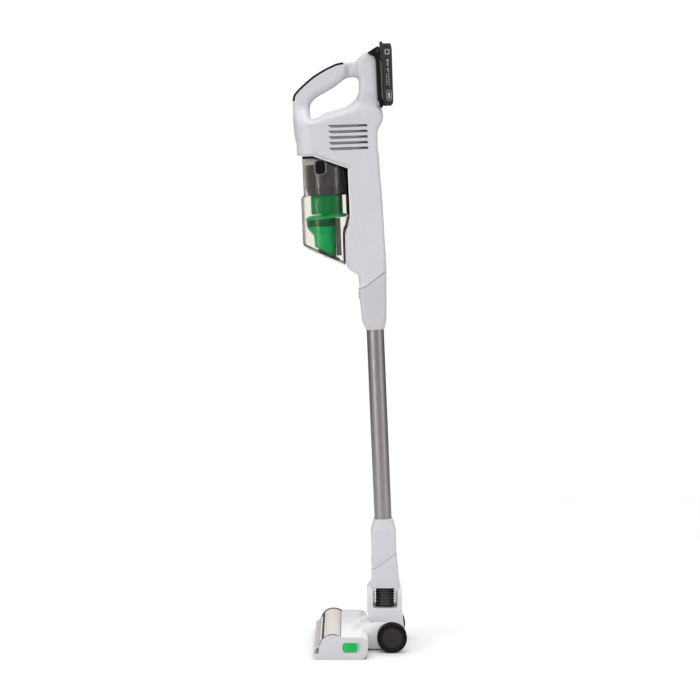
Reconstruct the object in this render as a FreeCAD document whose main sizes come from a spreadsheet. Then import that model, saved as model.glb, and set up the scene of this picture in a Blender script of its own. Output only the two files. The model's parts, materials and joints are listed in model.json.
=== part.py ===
"""Cordless stick vacuum: floor head, neck, wand, handheld unit, dust bin and slide-on battery pack.

The frame is in millimetres: +Z up, the head's front towards -Y, X across the head. The floor head and
the pivot yoke are drawn upright. Everything above them is drawn about the wand tube's axis and then
leaned forward by the lean angle, about a point on the floor below the neck.
"""
import FreeCAD, Part
import math
import os
import re

Vector = FreeCAD.Vector
Rotation = FreeCAD.Rotation
Placement = FreeCAD.Placement

SIZES = {
    # stance
    "lean_angle": 2.434, "foot_y": 71.67,
    # wand tube and its connectors
    "tube_radius": 16.0, "tube_wall": 1.2, "tube_low": 208.0, "tube_high": 608.0,
    "connector_half": 24.0, "spigot_radius": 15.5, "spigot_bore": 13.5, "slip_gap": 0.3,
    "wire_radius": 1.2, "wire_offset": 8.5,
    # housing of the handheld unit
    "wall": 2.5, "handle_half": 16.0, "grip_half": 11.0, "grip_depth": 1.8,
    "boss_radius": 4.0, "screw_radius": 1.5, "screw_head": 2.8,
    "vent_high": 3.0, "vent_pitch": 10.25, "vent_top": 965.0,
    "button_radius": 6.0, "button_gap": 0.3, "button_depth": 5.0,
    # dust bin
    "bin_y": -80.0, "bin_radius": 43.2, "bin_low_y": -82.0, "bin_low_radius": 45.4, "bin_step": 838.0,
    "cup_y": -78.5, "cup_radius": 36.5, "screen_radius": 29.5, "flange_radius": 38.0,
    "cone_y": -85.0, "cone_radius": 20.0,
    "latch_y": -88.0, "latch_wide": 18.0, "latch_low": 879.0, "latch_high": 25.0, "latch_in": 38.7,
    "latch_thick": 4.9,
    # battery
    "pack_half": 37.0, "core_half": 35.0, "cell_radius": 9.0, "cell_length": 65.0, "cell_pitch": 18.6,
    "cell_low": 1012.0, "cell_y": 39.2, "cell_count": 5,
    # floor head
    "head_half": 118.0, "cap_thick": 6.0, "brush_y": -31.5, "brush_z": 20.0, "window_radius": 24.0,
    "window_thick": 1.8, "core_radius": 11.0, "bristle_radius": 19.5, "bristle_count": 6,
    "bearing_radius": 8.0, "shaft_radius": 3.0, "run_gap": 0.05, "floor_plate": 3.0,
    "motor_y": 12.0, "motor_z": 18.0, "motor_radius": 11.0, "brush_pulley": 8.0, "small_pulley": 5.0,
    "belt_thick": 1.2, "belt_width": 4.0, "belt_x": -103.0,
    # wheels, yoke and neck
    "axle_y": 77.6, "axle_z": 27.5, "wheel_radius": 27.5, "hub_radius": 21.8, "wheel_in": 51.0,
    "wheel_out": 71.0, "barrel_radius": 24.0, "barrel_half": 40.0, "yoke_half": 26.0,
    "swivel_z": 95.4, "rise": 5.4, "hose_y": 65.5, "hose_radius": 18.0, "neck_half": 24.0,
}

doc = FreeCAD.newDocument("stick_vacuum")
sheet = doc.addObject("Spreadsheet::Sheet", "Sizes")
for row, (alias, number) in enumerate(SIZES.items(), start=1):
    sheet.set(f"A{row}", alias)
    sheet.set(f"B{row}", str(number))
    sheet.setAlias(f"B{row}", alias)
doc.recompute()


class Sheet:
    """The driving dimensions, read back from the sheet."""

    def __getattr__(self, name):
        return float(sheet.get(name))


size = Sheet()
LEANED = Placement(Vector(0, size.foot_y, size.rise), Rotation(Vector(1, 0, 0), size.lean_angle))
UPRIGHT = Placement()
TURN = {"X": Rotation(Vector(0, 1, 0), 90), "Y": Rotation(Vector(1, 0, 0), -90), "Z": Rotation()}
nodes = {}


# ---------------------------------------------------------------- drawing helpers

def bind(thing, prop, formula):
    """Sets a property, through the sheet when it is written as a formula of aliases."""
    if isinstance(formula, str):
        linked = re.sub(r"[a-z_]+", lambda word: "Sizes." + word.group(), formula)
        thing.setExpression(prop, linked)
    else:
        setattr(thing, prop, formula)


def node(name, thing, placement=UPRIGHT):
    """Names a finished sub-part and puts it in its place."""
    thing.Label = name
    thing.Placement = placement.multiply(thing.Placement)
    nodes[name] = thing
    return thing


def box(x, y, z):
    """A box between pairs of X, Y and Z limits."""
    thing = doc.addObject("Part::Box", "Box")
    thing.Length, thing.Width, thing.Height = x[1] - x[0], y[1] - y[0], z[1] - z[0]
    thing.Placement.Base = Vector(x[0], y[0], z[0])
    return thing


def rod(radius, length, start, axis="Z"):
    """A cylinder from a start point along an axis."""
    thing = doc.addObject("Part::Cylinder", "Rod")
    bind(thing, "Radius", radius)
    bind(thing, "Height", length)
    thing.Placement = Placement(Vector(*start), TURN[axis])
    return thing


def cone(low_radius, high_radius, length, start):
    """A truncated cone standing on a start point."""
    thing = doc.addObject("Part::Cone", "Cone")
    bind(thing, "Radius1", low_radius)
    bind(thing, "Radius2", high_radius)
    bind(thing, "Height", length)
    thing.Placement.Base = Vector(*start)
    return thing


def arc(centre, radius, first, last, steps=16):
    """Points on a circle between two angles in degrees."""
    turns = [math.radians(first + (last - first) * i / steps) for i in range(steps + 1)]
    return [(centre[0] + radius * math.cos(a), centre[1] + radius * math.sin(a)) for a in turns]


def corner(before, point, after, radius):
    """The two tangent points and the middle of a rounded corner."""
    p = Vector(point[0], point[1], 0)
    to_before = (Vector(before[0], before[1], 0) - p).normalize()
    to_after = (Vector(after[0], after[1], 0) - p).normalize()
    half = to_before.getAngle(to_after) / 2
    reach = radius / math.tan(half)
    centre = p + (to_before + to_after).normalize() * (radius / math.sin(half))
    middle = centre + (p - centre).normalize() * radius
    return p + to_before * reach, middle, p + to_after * reach


def sketch_on(body, role, outline, offset=0.0):
    """A closed sketch on one of a body's origin planes; a third number in a point rounds its corner."""
    plane = [f for f in body.Origin.OriginFeatures if f.Role == role][0]
    sketch = body.newObject("Sketcher::SketchObject", "Outline")
    sketch.AttachmentSupport = (plane, [""])
    sketch.MapMode = "FlatFace"
    sketch.AttachmentOffset = Placement(Vector(0, 0, offset), Rotation())
    ends = []
    for i, point in enumerate(outline):
        if len(point) == 3:
            ends.append(corner(outline[i - 1], point, outline[(i + 1) % len(outline)], point[2]))
        else:
            ends.append((Vector(point[0], point[1], 0),))
    for i, here in enumerate(ends):
        if len(here) == 3:
            sketch.addGeometry(Part.Arc(*here), False)
        follower = ends[(i + 1) % len(ends)]
        if here[-1].distanceToPoint(follower[0]) > 1e-6:
            sketch.addGeometry(Part.LineSegment(here[-1], follower[0]), False)
    return sketch


def slab(outline, width, start=None, role="YZ_Plane"):
    """An outline padded across X: both ways from the middle, or from a start."""
    body = doc.addObject("PartDesign::Body", "Slab")
    sketch = sketch_on(body, role, outline, start or 0.0)
    pad = body.newObject("PartDesign::Pad", "Pad")
    pad.Profile = sketch
    bind(pad, "Length", width)
    pad.Midplane = start is None
    body.Tip = pad
    return body


def plan_slab(outline, low, high):
    """A plan outline (X, Y) padded upwards between two heights."""
    return slab(outline, high - low, low, "XY_Plane")


def turned(profile, placement=UPRIGHT):
    """A profile of (radius, height) points turned about Z."""
    body = doc.addObject("PartDesign::Body", "Turned")
    sketch = sketch_on(body, "XZ_Plane", profile)
    spin = body.newObject("PartDesign::Revolution", "Revolution")
    spin.Profile = sketch
    spin.ReferenceAxis = (sketch, ["V_Axis"])
    spin.Angle = 360
    body.Tip = spin
    body.Placement = placement
    return body


def fuse(*things):
    thing = doc.addObject("Part::MultiFuse", "Fuse")
    thing.Shapes = list(things)
    return thing


def cut(base, *tools):
    thing = doc.addObject("Part::Cut", "Cut")
    thing.Base = base
    thing.Tool = tools[0] if len(tools) == 1 else fuse(*tools)
    return thing


def common(*things):
    thing = doc.addObject("Part::MultiCommon", "Common")
    thing.Shapes = list(things)
    return thing


def group(*things):
    thing = doc.addObject("Part::Compound", "Group")
    thing.Links = list(things)
    return thing


def copy_of(thing):
    """A second use of a finished shape."""
    link = doc.addObject("Part::Compound", "Copy")
    link.Links = [thing]
    return link


def inset(outline, depth):
    """The outline moved inwards by a depth."""
    points = [Vector(p[0], p[1], 0) for p in outline]
    wire = Part.makePolygon(points + points[:1])
    for sign in (-1, 1):
        moved = wire.makeOffset2D(sign * depth, 2)
        if Part.Face(moved).Area < Part.Face(wire).Area:
            return [(v.Point.x, v.Point.y) for v in moved.OrderedVertexes]
    raise ValueError("no inset")


def ribbon(points, depth):
    """A band of the given depth on the right-hand side of an open line."""
    inner = []
    for i, point in enumerate(points):
        before, after = points[max(i - 1, 0)], points[min(i + 1, len(points) - 1)]
        along = Vector(after[0] - before[0], after[1] - before[1], 0).normalize()
        inner.append((point[0] + along.y * depth, point[1] - along.x * depth))
    return list(points) + inner[::-1]


def mirrored_pair(make):
    """The same piece on the +X side and on the -X side."""
    return make(1), make(-1)


# ---------------------------------------------------------------- outlines

POD = [(-129.0, 914.2), (-130.2, 937.7), (-134.0, 971.0), (-133.6, 993.0), (-103.3, 992.0),
       (-101.2, 979.0), (-87.0, 982.1), (-80.5, 987.0), (-57.3, 993.8), (-34.4, 1000.3),
       (-20.6, 1010.8), (-13.1, 1021.6), (-11.5, 1043.7), (-11.2, 1085.2), (2.7, 1096.8),
       (17.7, 1088.2), (21.0, 1083.8), (22.1, 1013.0), (25.3, 998.5), (29.3, 987.7), (29.9, 975.3),
       (19.5, 953.5), (17.9, 920.3), (20.6, 864.6), (24.0, 753.4), (25.0, 697.8), (21.3, 695.6),
       (-8.1, 674.2), (-16.7, 668.9), (-24.9, 667.0), (-26.6, 690.7), (-36.6, 696.7),
       (-45.5, 704.5), (-48.0, 710.7), (-46.7, 771.2), (-36.9, 793.0), (-36.1, 804.4),
       (-36.6, 888.6), (-100.7, 914.2)]
HANDLE = [(-133.6, 988.0), (-133.8, 1004.5), (-134.3, 1015.6), (-130.3, 1026.6), (-119.9, 1037.2),
          (-93.2, 1058.3), (-74.6, 1068.6), (-50.7, 1078.7), (-38.4, 1080.4), (-9.0, 1081.7),
          (-9.0, 1052.1), (-32.6, 1052.4), (-43.4, 1045.1), (-60.0, 1034.7), (-80.8, 1024.5),
          (-97.0, 1014.0), (-102.4, 1003.2), (-103.0, 988.0)]
GRIP = [(-132.3, 1021.0), (-130.3, 1026.6), (-119.9, 1037.2), (-93.2, 1058.3), (-74.6, 1068.6),
        (-50.7, 1078.7), (-38.4, 1080.4)]
PLAN = [(22.0, -135.0), (36.0, -128.0), (44.0, -116.0), (47.0, -100.0), (47.0, -60.0),
        (43.0, -36.0), (33.0, -11.0), (30.0, 31.0), (-30.0, 31.0), (-33.0, -11.0), (-43.0, -36.0),
        (-47.0, -60.0), (-47.0, -100.0), (-44.0, -116.0), (-36.0, -128.0), (-22.0, -135.0)]
BIN = [(-130.0, 913.0), (-101.0, 913.0), (-37.6, 887.4), (-37.3, 804.4), (-37.9, 793.0),
       (-47.7, 771.2), (-49.0, 713.2), (-58.0, 717.8), (-130.0, 754.6)]
DOOR = [(-130.0, 749.5), (-130.0, 754.2), (-58.0, 717.4), (-49.0, 712.8), (-49.0, 708.4)]
# side view of the floor head
CAP = [(-66.0, 5.0), (-64.0, 1.0), (-55.0, 0.0), (20.0, 0.0), (28.0, 3.0), (34.0, 24.0, 6.0),
       (31.5, 33.0, 5.0), (22.0, 39.6, 8.0), (-13.0, 39.8), (-22.0, 43.4), (-32.0, 44.8),
       (-43.0, 42.6), (-50.5, 36.5), (-55.2, 26.5), (-65.4, 19.6), (-66.2, 11.0)]
COVER = [(-16.9, 39.5), (20.0, 39.5), (32.0, 31.5), (33.8, 24.0), (30.5, 5.6), (28.0, 5.6),
         (31.3, 24.0), (29.8, 30.2), (19.2, 37.0), (-14.2, 37.0)]
SKIRT = [(-54.8, 25.2), (-65.0, 19.2), (-66.0, 11.0), (-65.4, 4.0), (-63.6, 4.0), (-64.2, 10.8),
         (-63.4, 18.2), (-54.2, 23.4)]
ARM = [(12.0, 38.6), (34.0, 46.0), (46.0, 52.0), (70.0, 52.0, 10.0), (92.0, 44.0, 12.0),
       (96.0, 14.0, 14.0), (70.0, 3.0), (36.0, 3.0), (32.0, 12.0), (33.0, 24.0), (31.5, 31.0),
       (20.0, 38.4)]
YOKE = [(31.8, 67.4), (31.8, 107.9), (38.3, 121.4), (42.6, 121.4), (42.6, 74.4, 4.5),
        (88.4, 74.4, 4.5), (88.4, 121.4), (92.7, 121.4), (96.6, 107.9), (97.6, 69.4),
        (101.5, 27.5), (53.7, 27.5)]
# beside the tube axis
NECK = [(-27.9, 103.0), (-26.9, 118.5), (-24.6, 142.8), (-17.4, 144.1), (22.1, 170.9),
        (25.1, 116.5), (25.5, 103.0)]
LOWER = [(-24.5, 143.4), (-23.7, 214.7), (-17.5, 235.0), (17.5, 235.0), (23.0, 212.7),
         (22.0, 171.4), (-17.4, 144.7)]
UPPER = [(-24.9, 666.4), (-27.3, 664.0), (-25.2, 633.2), (-24.3, 607.9), (-16.8, 589.2),
         (16.8, 588.8), (21.4, 606.0), (23.9, 675.6), (21.6, 694.9), (-7.9, 673.4), (-16.5, 668.2)]
PACK_CORE = [(28.9, 1105.0), (32.0, 1109.8), (49.1, 1109.8), (50.7, 1099.0), (49.8, 1006.6),
             (48.8, 999.6), (30.8, 999.2), (30.6, 1010.0), (28.9, 1016.0)]
PACK_EDGE = [(28.9, 1105.0), (32.0, 1109.8), (49.1, 1109.8), (50.7, 1099.0), (49.8, 1006.6),
             (48.8, 999.6), (33.6, 999.2), (33.4, 1078.0), (28.9, 1084.0)]
PACK_ROOM = [(30.2, 1002.2), (30.2, 1097.5), (48.4, 1097.5), (48.2, 1002.2)]
DOCK = [(6.6, 1095.0), (24.3, 1105.2), (28.1, 1104.0), (28.3, 1016.0), (30.0, 1010.0),
        (29.8, 997.5), (28.7, 995.4), (25.8, 1000.6), (22.5, 1013.0), (21.4, 1084.2),
        (18.0, 1088.6)]
DOCK_LIP = [(27.8, 1083.0), (32.8, 1077.6), (32.8, 999.6), (30.0, 996.6), (27.8, 999.0)]


# ---------------------------------------------------------------- floor head

def head_cover():
    shell = slab(COVER, "2 * head_half - 2 * cap_thick - 1")
    arms = [slab(ARM, 7.0, x) for x in (42.0, -49.0)]
    axle_hole = rod("shaft_radius", 100.0, (-50.0, size.axle_y, size.axle_z), "X")
    duct_hole = box((-22.2, 22.2), (24.0, 36.0), (9.8, 28.2))
    node("head_cover", cut(fuse(shell, *arms), axle_hole, duct_hole))


# the screws that hold the sole plate, across the head
SCREW_X = (-95.0, -40.0, 40.0, 95.0)
SCREW_Y = 15.0


def head_chassis():
    centre = (size.brush_y, size.brush_z)
    inner = size.window_radius - size.window_thick
    tunnel = slab(arc(centre, size.window_radius, -42, 49.5) + arc(centre, inner, 49.5, -42),
                  "2 * head_half - 2 * cap_thick - 1")
    plate = box((-111.5, 111.5), (-15.2, 29.5), (size.floor_plate, 5.5))
    tray = box((-41.8, 41.8), (29.0, 66.0), (size.floor_plate, 5.5))
    belt_slot = box((-104.5, -97.5), (-20.0, 0.0), (7.0, 34.0))
    screw_holes = [rod("screw_radius", 4.0, (x, SCREW_Y, 2.5)) for x in SCREW_X]
    node("head_chassis", cut(fuse(tunnel, plate, tray), belt_slot, *screw_holes))


def sole():
    plate = box((-111.5, 111.5), (-54.5, 30.0), (0.0, size.floor_plate))
    mouth = box((-104.0, 104.0), (-48.0, -15.0), (-1.0, 4.0))
    holes = [rod("screw_radius", 5.0, (x, SCREW_Y, -1.0)) for x in SCREW_X]
    sinks = [rod("screw_head + 0.3", 2.6, (x, SCREW_Y, -1.0)) for x in SCREW_X]
    node("sole_plate", cut(plate, mouth, *holes, *sinks))
    screws = [fuse(rod("screw_radius", 3.9, (x, SCREW_Y, 1.6)), rod("screw_head", 1.1, (x, SCREW_Y, 0.5)))
              for x in SCREW_X]
    node("head_screws", group(*screws))


def end_cap(side):
    face = size.head_half - size.cap_thick
    cap = slab(CAP, size.cap_thick, face if side > 0 else -size.head_half)
    boss_start = 106.0 if side > 0 else -face
    boss = rod("bearing_radius + 1.5", face - 106.0, (boss_start, size.brush_y, size.brush_z), "X")
    seat_start = 105.0 if side > 0 else -face
    seat = rod("bearing_radius", face - 105.0, (seat_start, size.brush_y, size.brush_z), "X")
    tools = [seat]
    if side > 0:
        tools.append(slab([(-13.4, 12.6, 6.0), (19.4, 12.6, 6.0), (19.4, 30.4, 6.0),
                           (-13.4, 30.4, 6.0)], 4.0, size.head_half - 3.0))
    node("end_cap_left" if side > 0 else "end_cap_right", cut(fuse(cap, boss), *tools))


def brush_window():
    centre = (size.brush_y, size.brush_z)
    radius = size.window_radius
    width = "2 * head_half - 2 * cap_thick - 1"
    inner = radius - size.window_thick
    node("brush_window", slab(arc(centre, radius, 50, 166) + arc(centre, inner, 166, 50), width))
    node("window_strip", slab(arc(centre, radius + 0.8, 134, 147, 4)
                              + arc(centre, radius + 0.02, 147, 134, 4), width))
    node("front_skirt", slab(SKIRT, width))


def brush():
    axis_y, axis_z = size.brush_y, size.brush_z
    core = rod("core_radius", 201.0, (-97.0, axis_y, axis_z), "X")
    pulley = rod("brush_pulley", 7.0, (-104.0, axis_y, axis_z), "X")
    stubs = rod("shaft_radius", 222.0, (-111.0, axis_y, axis_z), "X")
    node("brush_core", fuse(core, pulley, stubs))
    rows = []
    for i in range(int(size.bristle_count)):
        turn = 360.0 * i / size.bristle_count
        reach = size.bristle_radius - size.core_radius
        row = box((-95.0, 102.0), (-1.2, 1.2), (size.core_radius - 0.05, size.core_radius + reach))
        row.Placement = Placement(Vector(0, axis_y, axis_z), Rotation(Vector(1, 0, 0), turn)).multiply(
            row.Placement)
        rows.append(row)
    node("brush_bristles", cut(group(*rows), rod("core_radius", 201.0, (-97.0, axis_y, axis_z), "X")))
    rings = [cut(rod("bearing_radius", 5.0, (x, axis_y, axis_z), "X"),
                 rod("shaft_radius + run_gap", 7.0, (x - 1.0, axis_y, axis_z), "X"))
             for x in (106.4, -111.4)]
    node("brush_bearings", group(*rings))


def belt_loop(gap):
    """The line round both pulleys at a gap from them."""
    near = (size.brush_y, size.brush_z)
    far = (size.motor_y, size.motor_z)
    radii = (size.brush_pulley + gap, size.small_pulley + gap)
    reach = math.dist(near, far)
    tilt = math.degrees(math.atan2(far[1] - near[1], far[0] - near[0]))
    open_angle = math.degrees(math.acos((radii[0] - radii[1]) / reach))
    return (arc(near, radii[0], tilt + open_angle, tilt + 360 - open_angle, 24)
            + arc(far, radii[1], tilt - open_angle, tilt + open_angle, 16))


def brush_drive():
    can = rod("motor_radius", 68.0, (-79.0, size.motor_y, size.motor_z), "X")
    node("brush_motor", can)
    pulley = rod("small_pulley", 6.0, (-104.0, size.motor_y, size.motor_z), "X")
    shaft = rod("screw_radius", 18.5, (-98.0, size.motor_y, size.motor_z), "X")
    node("motor_pulley", fuse(pulley, shaft))
    outer = slab(belt_loop(size.belt_thick), "belt_width", size.belt_x)
    inner = slab(belt_loop(size.run_gap), "belt_width + 2", size.belt_x - 1.0)
    node("drive_belt", cut(outer, inner))


def brush_slider():
    plate = slab([(-13.0, 13.0, 6.0), (14.0, 13.0, 6.0), (14.0, 30.0, 6.0), (-13.0, 30.0, 6.0)], 2.6,
                 size.head_half - 2.8)
    grooves = [box((size.head_half - 1.0, size.head_half + 1), (y - 0.8, y + 0.8), (16.0, 27.0))
               for y in (-7.0, -3.0, 1.0, 5.0, 9.0)]
    node("brush_slider", cut(plate, *grooves))


def axles_and_wheels():
    axis = (size.axle_y, size.axle_z)
    node("stub_axles", group(*[rod("shaft_radius", 35.5, (x, *axis), "X") for x in (37.0, -72.5)]))
    for side, name in ((1, "left"), (-1, "right")):
        start = size.wheel_in if side > 0 else -size.wheel_out
        wide = size.wheel_out - size.wheel_in
        turn = Placement(Vector(side * size.wheel_in, *axis), Rotation(Vector(0, 1, 0), side * 90))
        bore = size.shaft_radius + size.run_gap
        hub = turned([(bore, 0.5), (size.hub_radius, 0.5), (size.hub_radius, wide - 3.0),
                      (9.0, wide - 3.0), (9.0, wide - 1.5), (bore, wide - 1.5)], turn)
        node(f"wheel_{name}_hub", group(hub))
        tyre = cut(rod("wheel_radius", wide, (start, *axis), "X"),
                   rod("hub_radius", wide + 2.0, (start - 1.0, *axis), "X"))
        node(f"wheel_{name}_tyre", tyre)


def air_duct():
    outer = box((-22.0, 22.0), (28.0, 49.5), (10.0, 28.0))
    node("air_duct", cut(outer, box((-20.0, 20.0), (27.0, 51.0), (12.0, 26.0))))


# ---------------------------------------------------------------- yoke and neck

# where each swivel pin starts along Y, and its length
SWIVEL_PINS = ((34.0, 13.2), (83.8, 10.2))


def yoke():
    axis = (size.axle_y, size.axle_z)
    frame = slab(YOKE, "2 * yoke_half")
    round_top = fuse(box((-26.0, 26.0), (30.0, 103.0), (20.0, size.swivel_z)),
                     rod("yoke_half", 73.0, (0, 30.0, size.swivel_z), "Y"))
    barrel = rod("barrel_radius", "2 * barrel_half", (-size.barrel_half, *axis), "X")
    cavity = rod("barrel_radius - 3", "2 * barrel_half - 12", (6 - size.barrel_half, *axis), "X")
    trunnions = rod("shaft_radius + run_gap", 100.0, (-50.0, *axis), "X")
    riser = rod(15.0, 50.4, (0, size.hose_y, size.axle_z))
    socket = rod("hose_radius + 0.4", 10.0, (0, size.hose_y, 71.4))
    inlet = box((-20.0, 20.0), (48.0, 62.0), (14.0, 30.0))
    pin_seats = [rod("shaft_radius", length, (0, y, size.swivel_z), "Y") for y, length in SWIVEL_PINS]
    body = cut(fuse(common(frame, round_top), barrel), cavity, trunnions, riser, socket, inlet,
               *pin_seats)
    node("yoke", body)
    pins = [rod("shaft_radius", length, (0, y, size.swivel_z), "Y") for y, length in SWIVEL_PINS]
    node("swivel_pins", group(*pins))


def neck():
    sleeve = slab(NECK, "2 * neck_half")
    sleeve.Placement = LEANED
    legs = []
    for y in (43.2, 84.0):
        legs.append(box((-17.8, 17.8), (y, y + 3.8), (size.swivel_z, 131.4)))
        legs.append(rod(17.8, 3.8, (0, y, size.swivel_z), "Y"))
    arch = rod("yoke_half + 0.6", 100.0, (0, 10.0, size.swivel_z), "Y")
    pin_hole = rod("shaft_radius + run_gap", 100.0, (0, 10.0, size.swivel_z), "Y")
    bore = rod("spigot_radius + slip_gap", 80.0, (0, 0, 110.0))
    bore.Placement = LEANED.multiply(bore.Placement)
    socket = rod("hose_radius + 0.4", 40.0, (0, size.hose_y, 91.4))
    window = box((-30.0, 30.0), (47.0, 84.0), (85.0, 112.0))
    node("neck", cut(fuse(cut(sleeve, arch, window), *legs), pin_hole, bore, socket))


def hose():
    """A ribbed hose between the yoke and the neck."""
    low, high, ribs = 71.6, 131.0, 11
    pitch = (high - low) / ribs
    outer, inner = size.hose_radius, size.hose_radius - 1.8
    profile = [(inner - 1.0, low)]
    for i in range(ribs):
        base = low + i * pitch
        profile += [(outer, base), (outer, base + 0.55 * pitch), (inner, base + 0.62 * pitch),
                    (inner, base + 0.93 * pitch)]
    profile += [(inner - 1.0, high - 0.07 * pitch)]
    node("hose", turned(profile), Placement(Vector(0, size.hose_y, 0), Rotation()))


# ---------------------------------------------------------------- wand

def wand():
    passage = rod("spigot_bore", 160.0, (0, 0, 100.0))
    spigot = rod("spigot_radius", 60.0, (0, 0, 128.0))
    pocket = box((-7.4, 7.4), (-30.0, -21.0), (151.6, 164.4))
    mouth = rod("tube_radius", 28.0, (0, 0, size.tube_low))
    low = cut(fuse(slab(LOWER, "2 * connector_half"), spigot), mouth, passage, pocket)
    node("wand_lower_connector", low, LEANED)
    tube = cut(rod("tube_radius", "tube_high - tube_low", (0, 0, size.tube_low)),
               rod("tube_radius - tube_wall", "tube_high - tube_low + 2", (0, 0, size.tube_low - 1)))
    node("wand_tube", tube, LEANED)
    top_mouth = rod("tube_radius", 40.0, (0, 0, size.tube_high - 40.0))
    top_passage = rod("spigot_bore", 200.0, (0, 0, size.tube_high - 20.0))
    top_spigot = rod("spigot_radius", 60.0, (0, 0, 652.0))
    top_pocket = box((-7.4, 7.4), (-30.0, -22.0), (645.6, 660.4))
    high = cut(fuse(slab(UPPER, "2 * connector_half"), top_spigot), top_mouth, top_passage, top_pocket)
    node("wand_upper_connector", high, LEANED)
    wires = [rod("wire_radius", 520.0, (x, size.wire_offset, 140.0))
             for x in (-size.wire_offset, size.wire_offset)]
    node("wand_wires", group(*wires), LEANED)
    node("neck_button", box((-7.0, 7.0), (-25.6, -22.6), (152.0, 164.0)), LEANED)
    node("wand_button", box((-7.0, 7.0), (-28.0, -24.0), (646.0, 660.0)), LEANED)


# ---------------------------------------------------------------- handheld unit

# the screw posts between the two housing halves: y, z and half length
BOSSES = [(-122.0, 932.0, 38.0), (-118.0, 985.0, 40.0), (8.0, 930.0, 30.0), (11.0, 1060.0, 30.0),
          (-25.5, 740.0, 36.0), (-25.5, 815.0, 36.0), (-118.5, 1012.0, 16.0), (-66.0, 1052.0, 16.0)]


def button_place(y, z, depth):
    """A frame standing on the grip's slope, its Z axis out of the grip."""
    slope = math.degrees(math.atan2(1068.6 - 1058.3, 93.2 - 74.6))
    turn = Rotation(Vector(1, 0, 0), slope)
    return Placement(Vector(0, y, z) - turn.multVec(Vector(0, 0, depth)), turn)


# the middle of each button on the grip: y and z
BUTTONS = {"power_button": (-90.6, 1059.8), "speed_button": (-76.4, 1067.7)}


def vents():
    """The row of vent slots, each with a pointed front."""
    front, shoulder, back = -68.6, -65.0, 0.0
    slots = []
    for i in range(5):
        top = size.vent_top - i * size.vent_pitch
        low = top - size.vent_high
        slots.append(slab([(front, top - 0.5 * size.vent_high), (shoulder, top), (back, top),
                           (back, low), (shoulder, low)], 120.0))
    return slots


def button_hole(name):
    """The hole through the grip for a button."""
    hole = rod("button_radius + button_gap", 14.0, (0, 0, 0))
    hole.Placement = button_place(*BUTTONS[name], 10.0)
    return hole


def housing():
    outer = fuse(common(slab(POD, 120.0), plan_slab(PLAN, 600.0, 1200.0)),
                 slab(HANDLE, "2 * handle_half"))
    room = common(slab(inset(POD, size.wall), 120.0), plan_slab(inset(PLAN, size.wall), 600.0, 1200.0))
    handle_room = slab(inset(HANDLE, size.wall), "2 * handle_half - 2 * wall")
    shell = cut(outer, room, handle_room)
    posts = [common(rod("boss_radius", 2 * half, (-half, y, z), "X"), copy_of(outer))
             for y, z, half in BOSSES]
    tools = [slab(ribbon(GRIP, size.grip_depth), "2 * grip_half")] + vents()
    tools.append(rod(30.0, 60.0, (0, size.cup_y, 870.0)))
    tools.append(rod(17.2, 14.0, (0, -44.0, 872.0), "Y"))
    tools.append(rod("spigot_radius + slip_gap + 1.4", 60.0, (0, 0, 650.0)))
    tools += [button_hole(name) for name in BUTTONS]
    drilled = []
    for y, z, half in BOSSES:
        drilled.append(rod("screw_radius", half + 9.0, (-half, y, z), "X"))
        drilled.append(rod("screw_head + 0.3", 30.0, (-half - 24.0, y, z), "X"))
    whole = cut(fuse(shell, *posts), *tools, *drilled)
    for side, name in ((1, "housing_left"), (-1, "housing_right")):
        low = 0.02 if side > 0 else -70.0
        block = box((low, low + 69.98), (-200.0, 100.0), (600.0, 1200.0))
        node(name, common(whole, block), LEANED)
    screws = [fuse(rod("screw_radius", half + 2.0, (6.0 - half, y, z), "X"),
                   rod("screw_head", 1.9, (4.1 - half, y, z), "X")) for y, z, half in BOSSES]
    node("housing_screws", group(*screws), LEANED)


def grip():
    holes = [button_hole(name) for name in BUTTONS]
    node("handle_grip", cut(slab(ribbon(GRIP, size.grip_depth), "2 * grip_half"), *holes), LEANED)
    for name, (y, z) in BUTTONS.items():
        cap = rod("button_radius", "button_depth", (0, 0, 0))
        cap.Placement = button_place(y, z, size.button_depth - 1.6)
        node(name, group(cap), LEANED)


def inlet_duct():
    """The tube behind the bin, bent forwards into the bin's mouth."""
    def run(radius, low):
        stem = rod(radius, 850.0 - low, (0, 0, low))
        bend = doc.addObject("Part::Torus", "Bend")
        bend.Radius1 = 22.0
        bind(bend, "Radius2", radius)
        bend.Angle3 = 90
        bend.Placement = Placement(Vector(0, -22.0, 850.0), Rotation(Vector(0, 1, 0), -90))
        mouth = rod(radius, 15.0, (0, -37.0 + 0.4, 872.0), "Y")
        return stem, bend, mouth
    outer = fuse(*run("spigot_radius + slip_gap + 1.2", 697.0))
    inner = fuse(*run("spigot_radius + slip_gap", 690.0))
    trim = box((-30.0, 30.0), (-50.0, -36.2), (840.0, 900.0))
    node("inlet_duct", cut(outer, inner, trim), LEANED)


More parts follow.
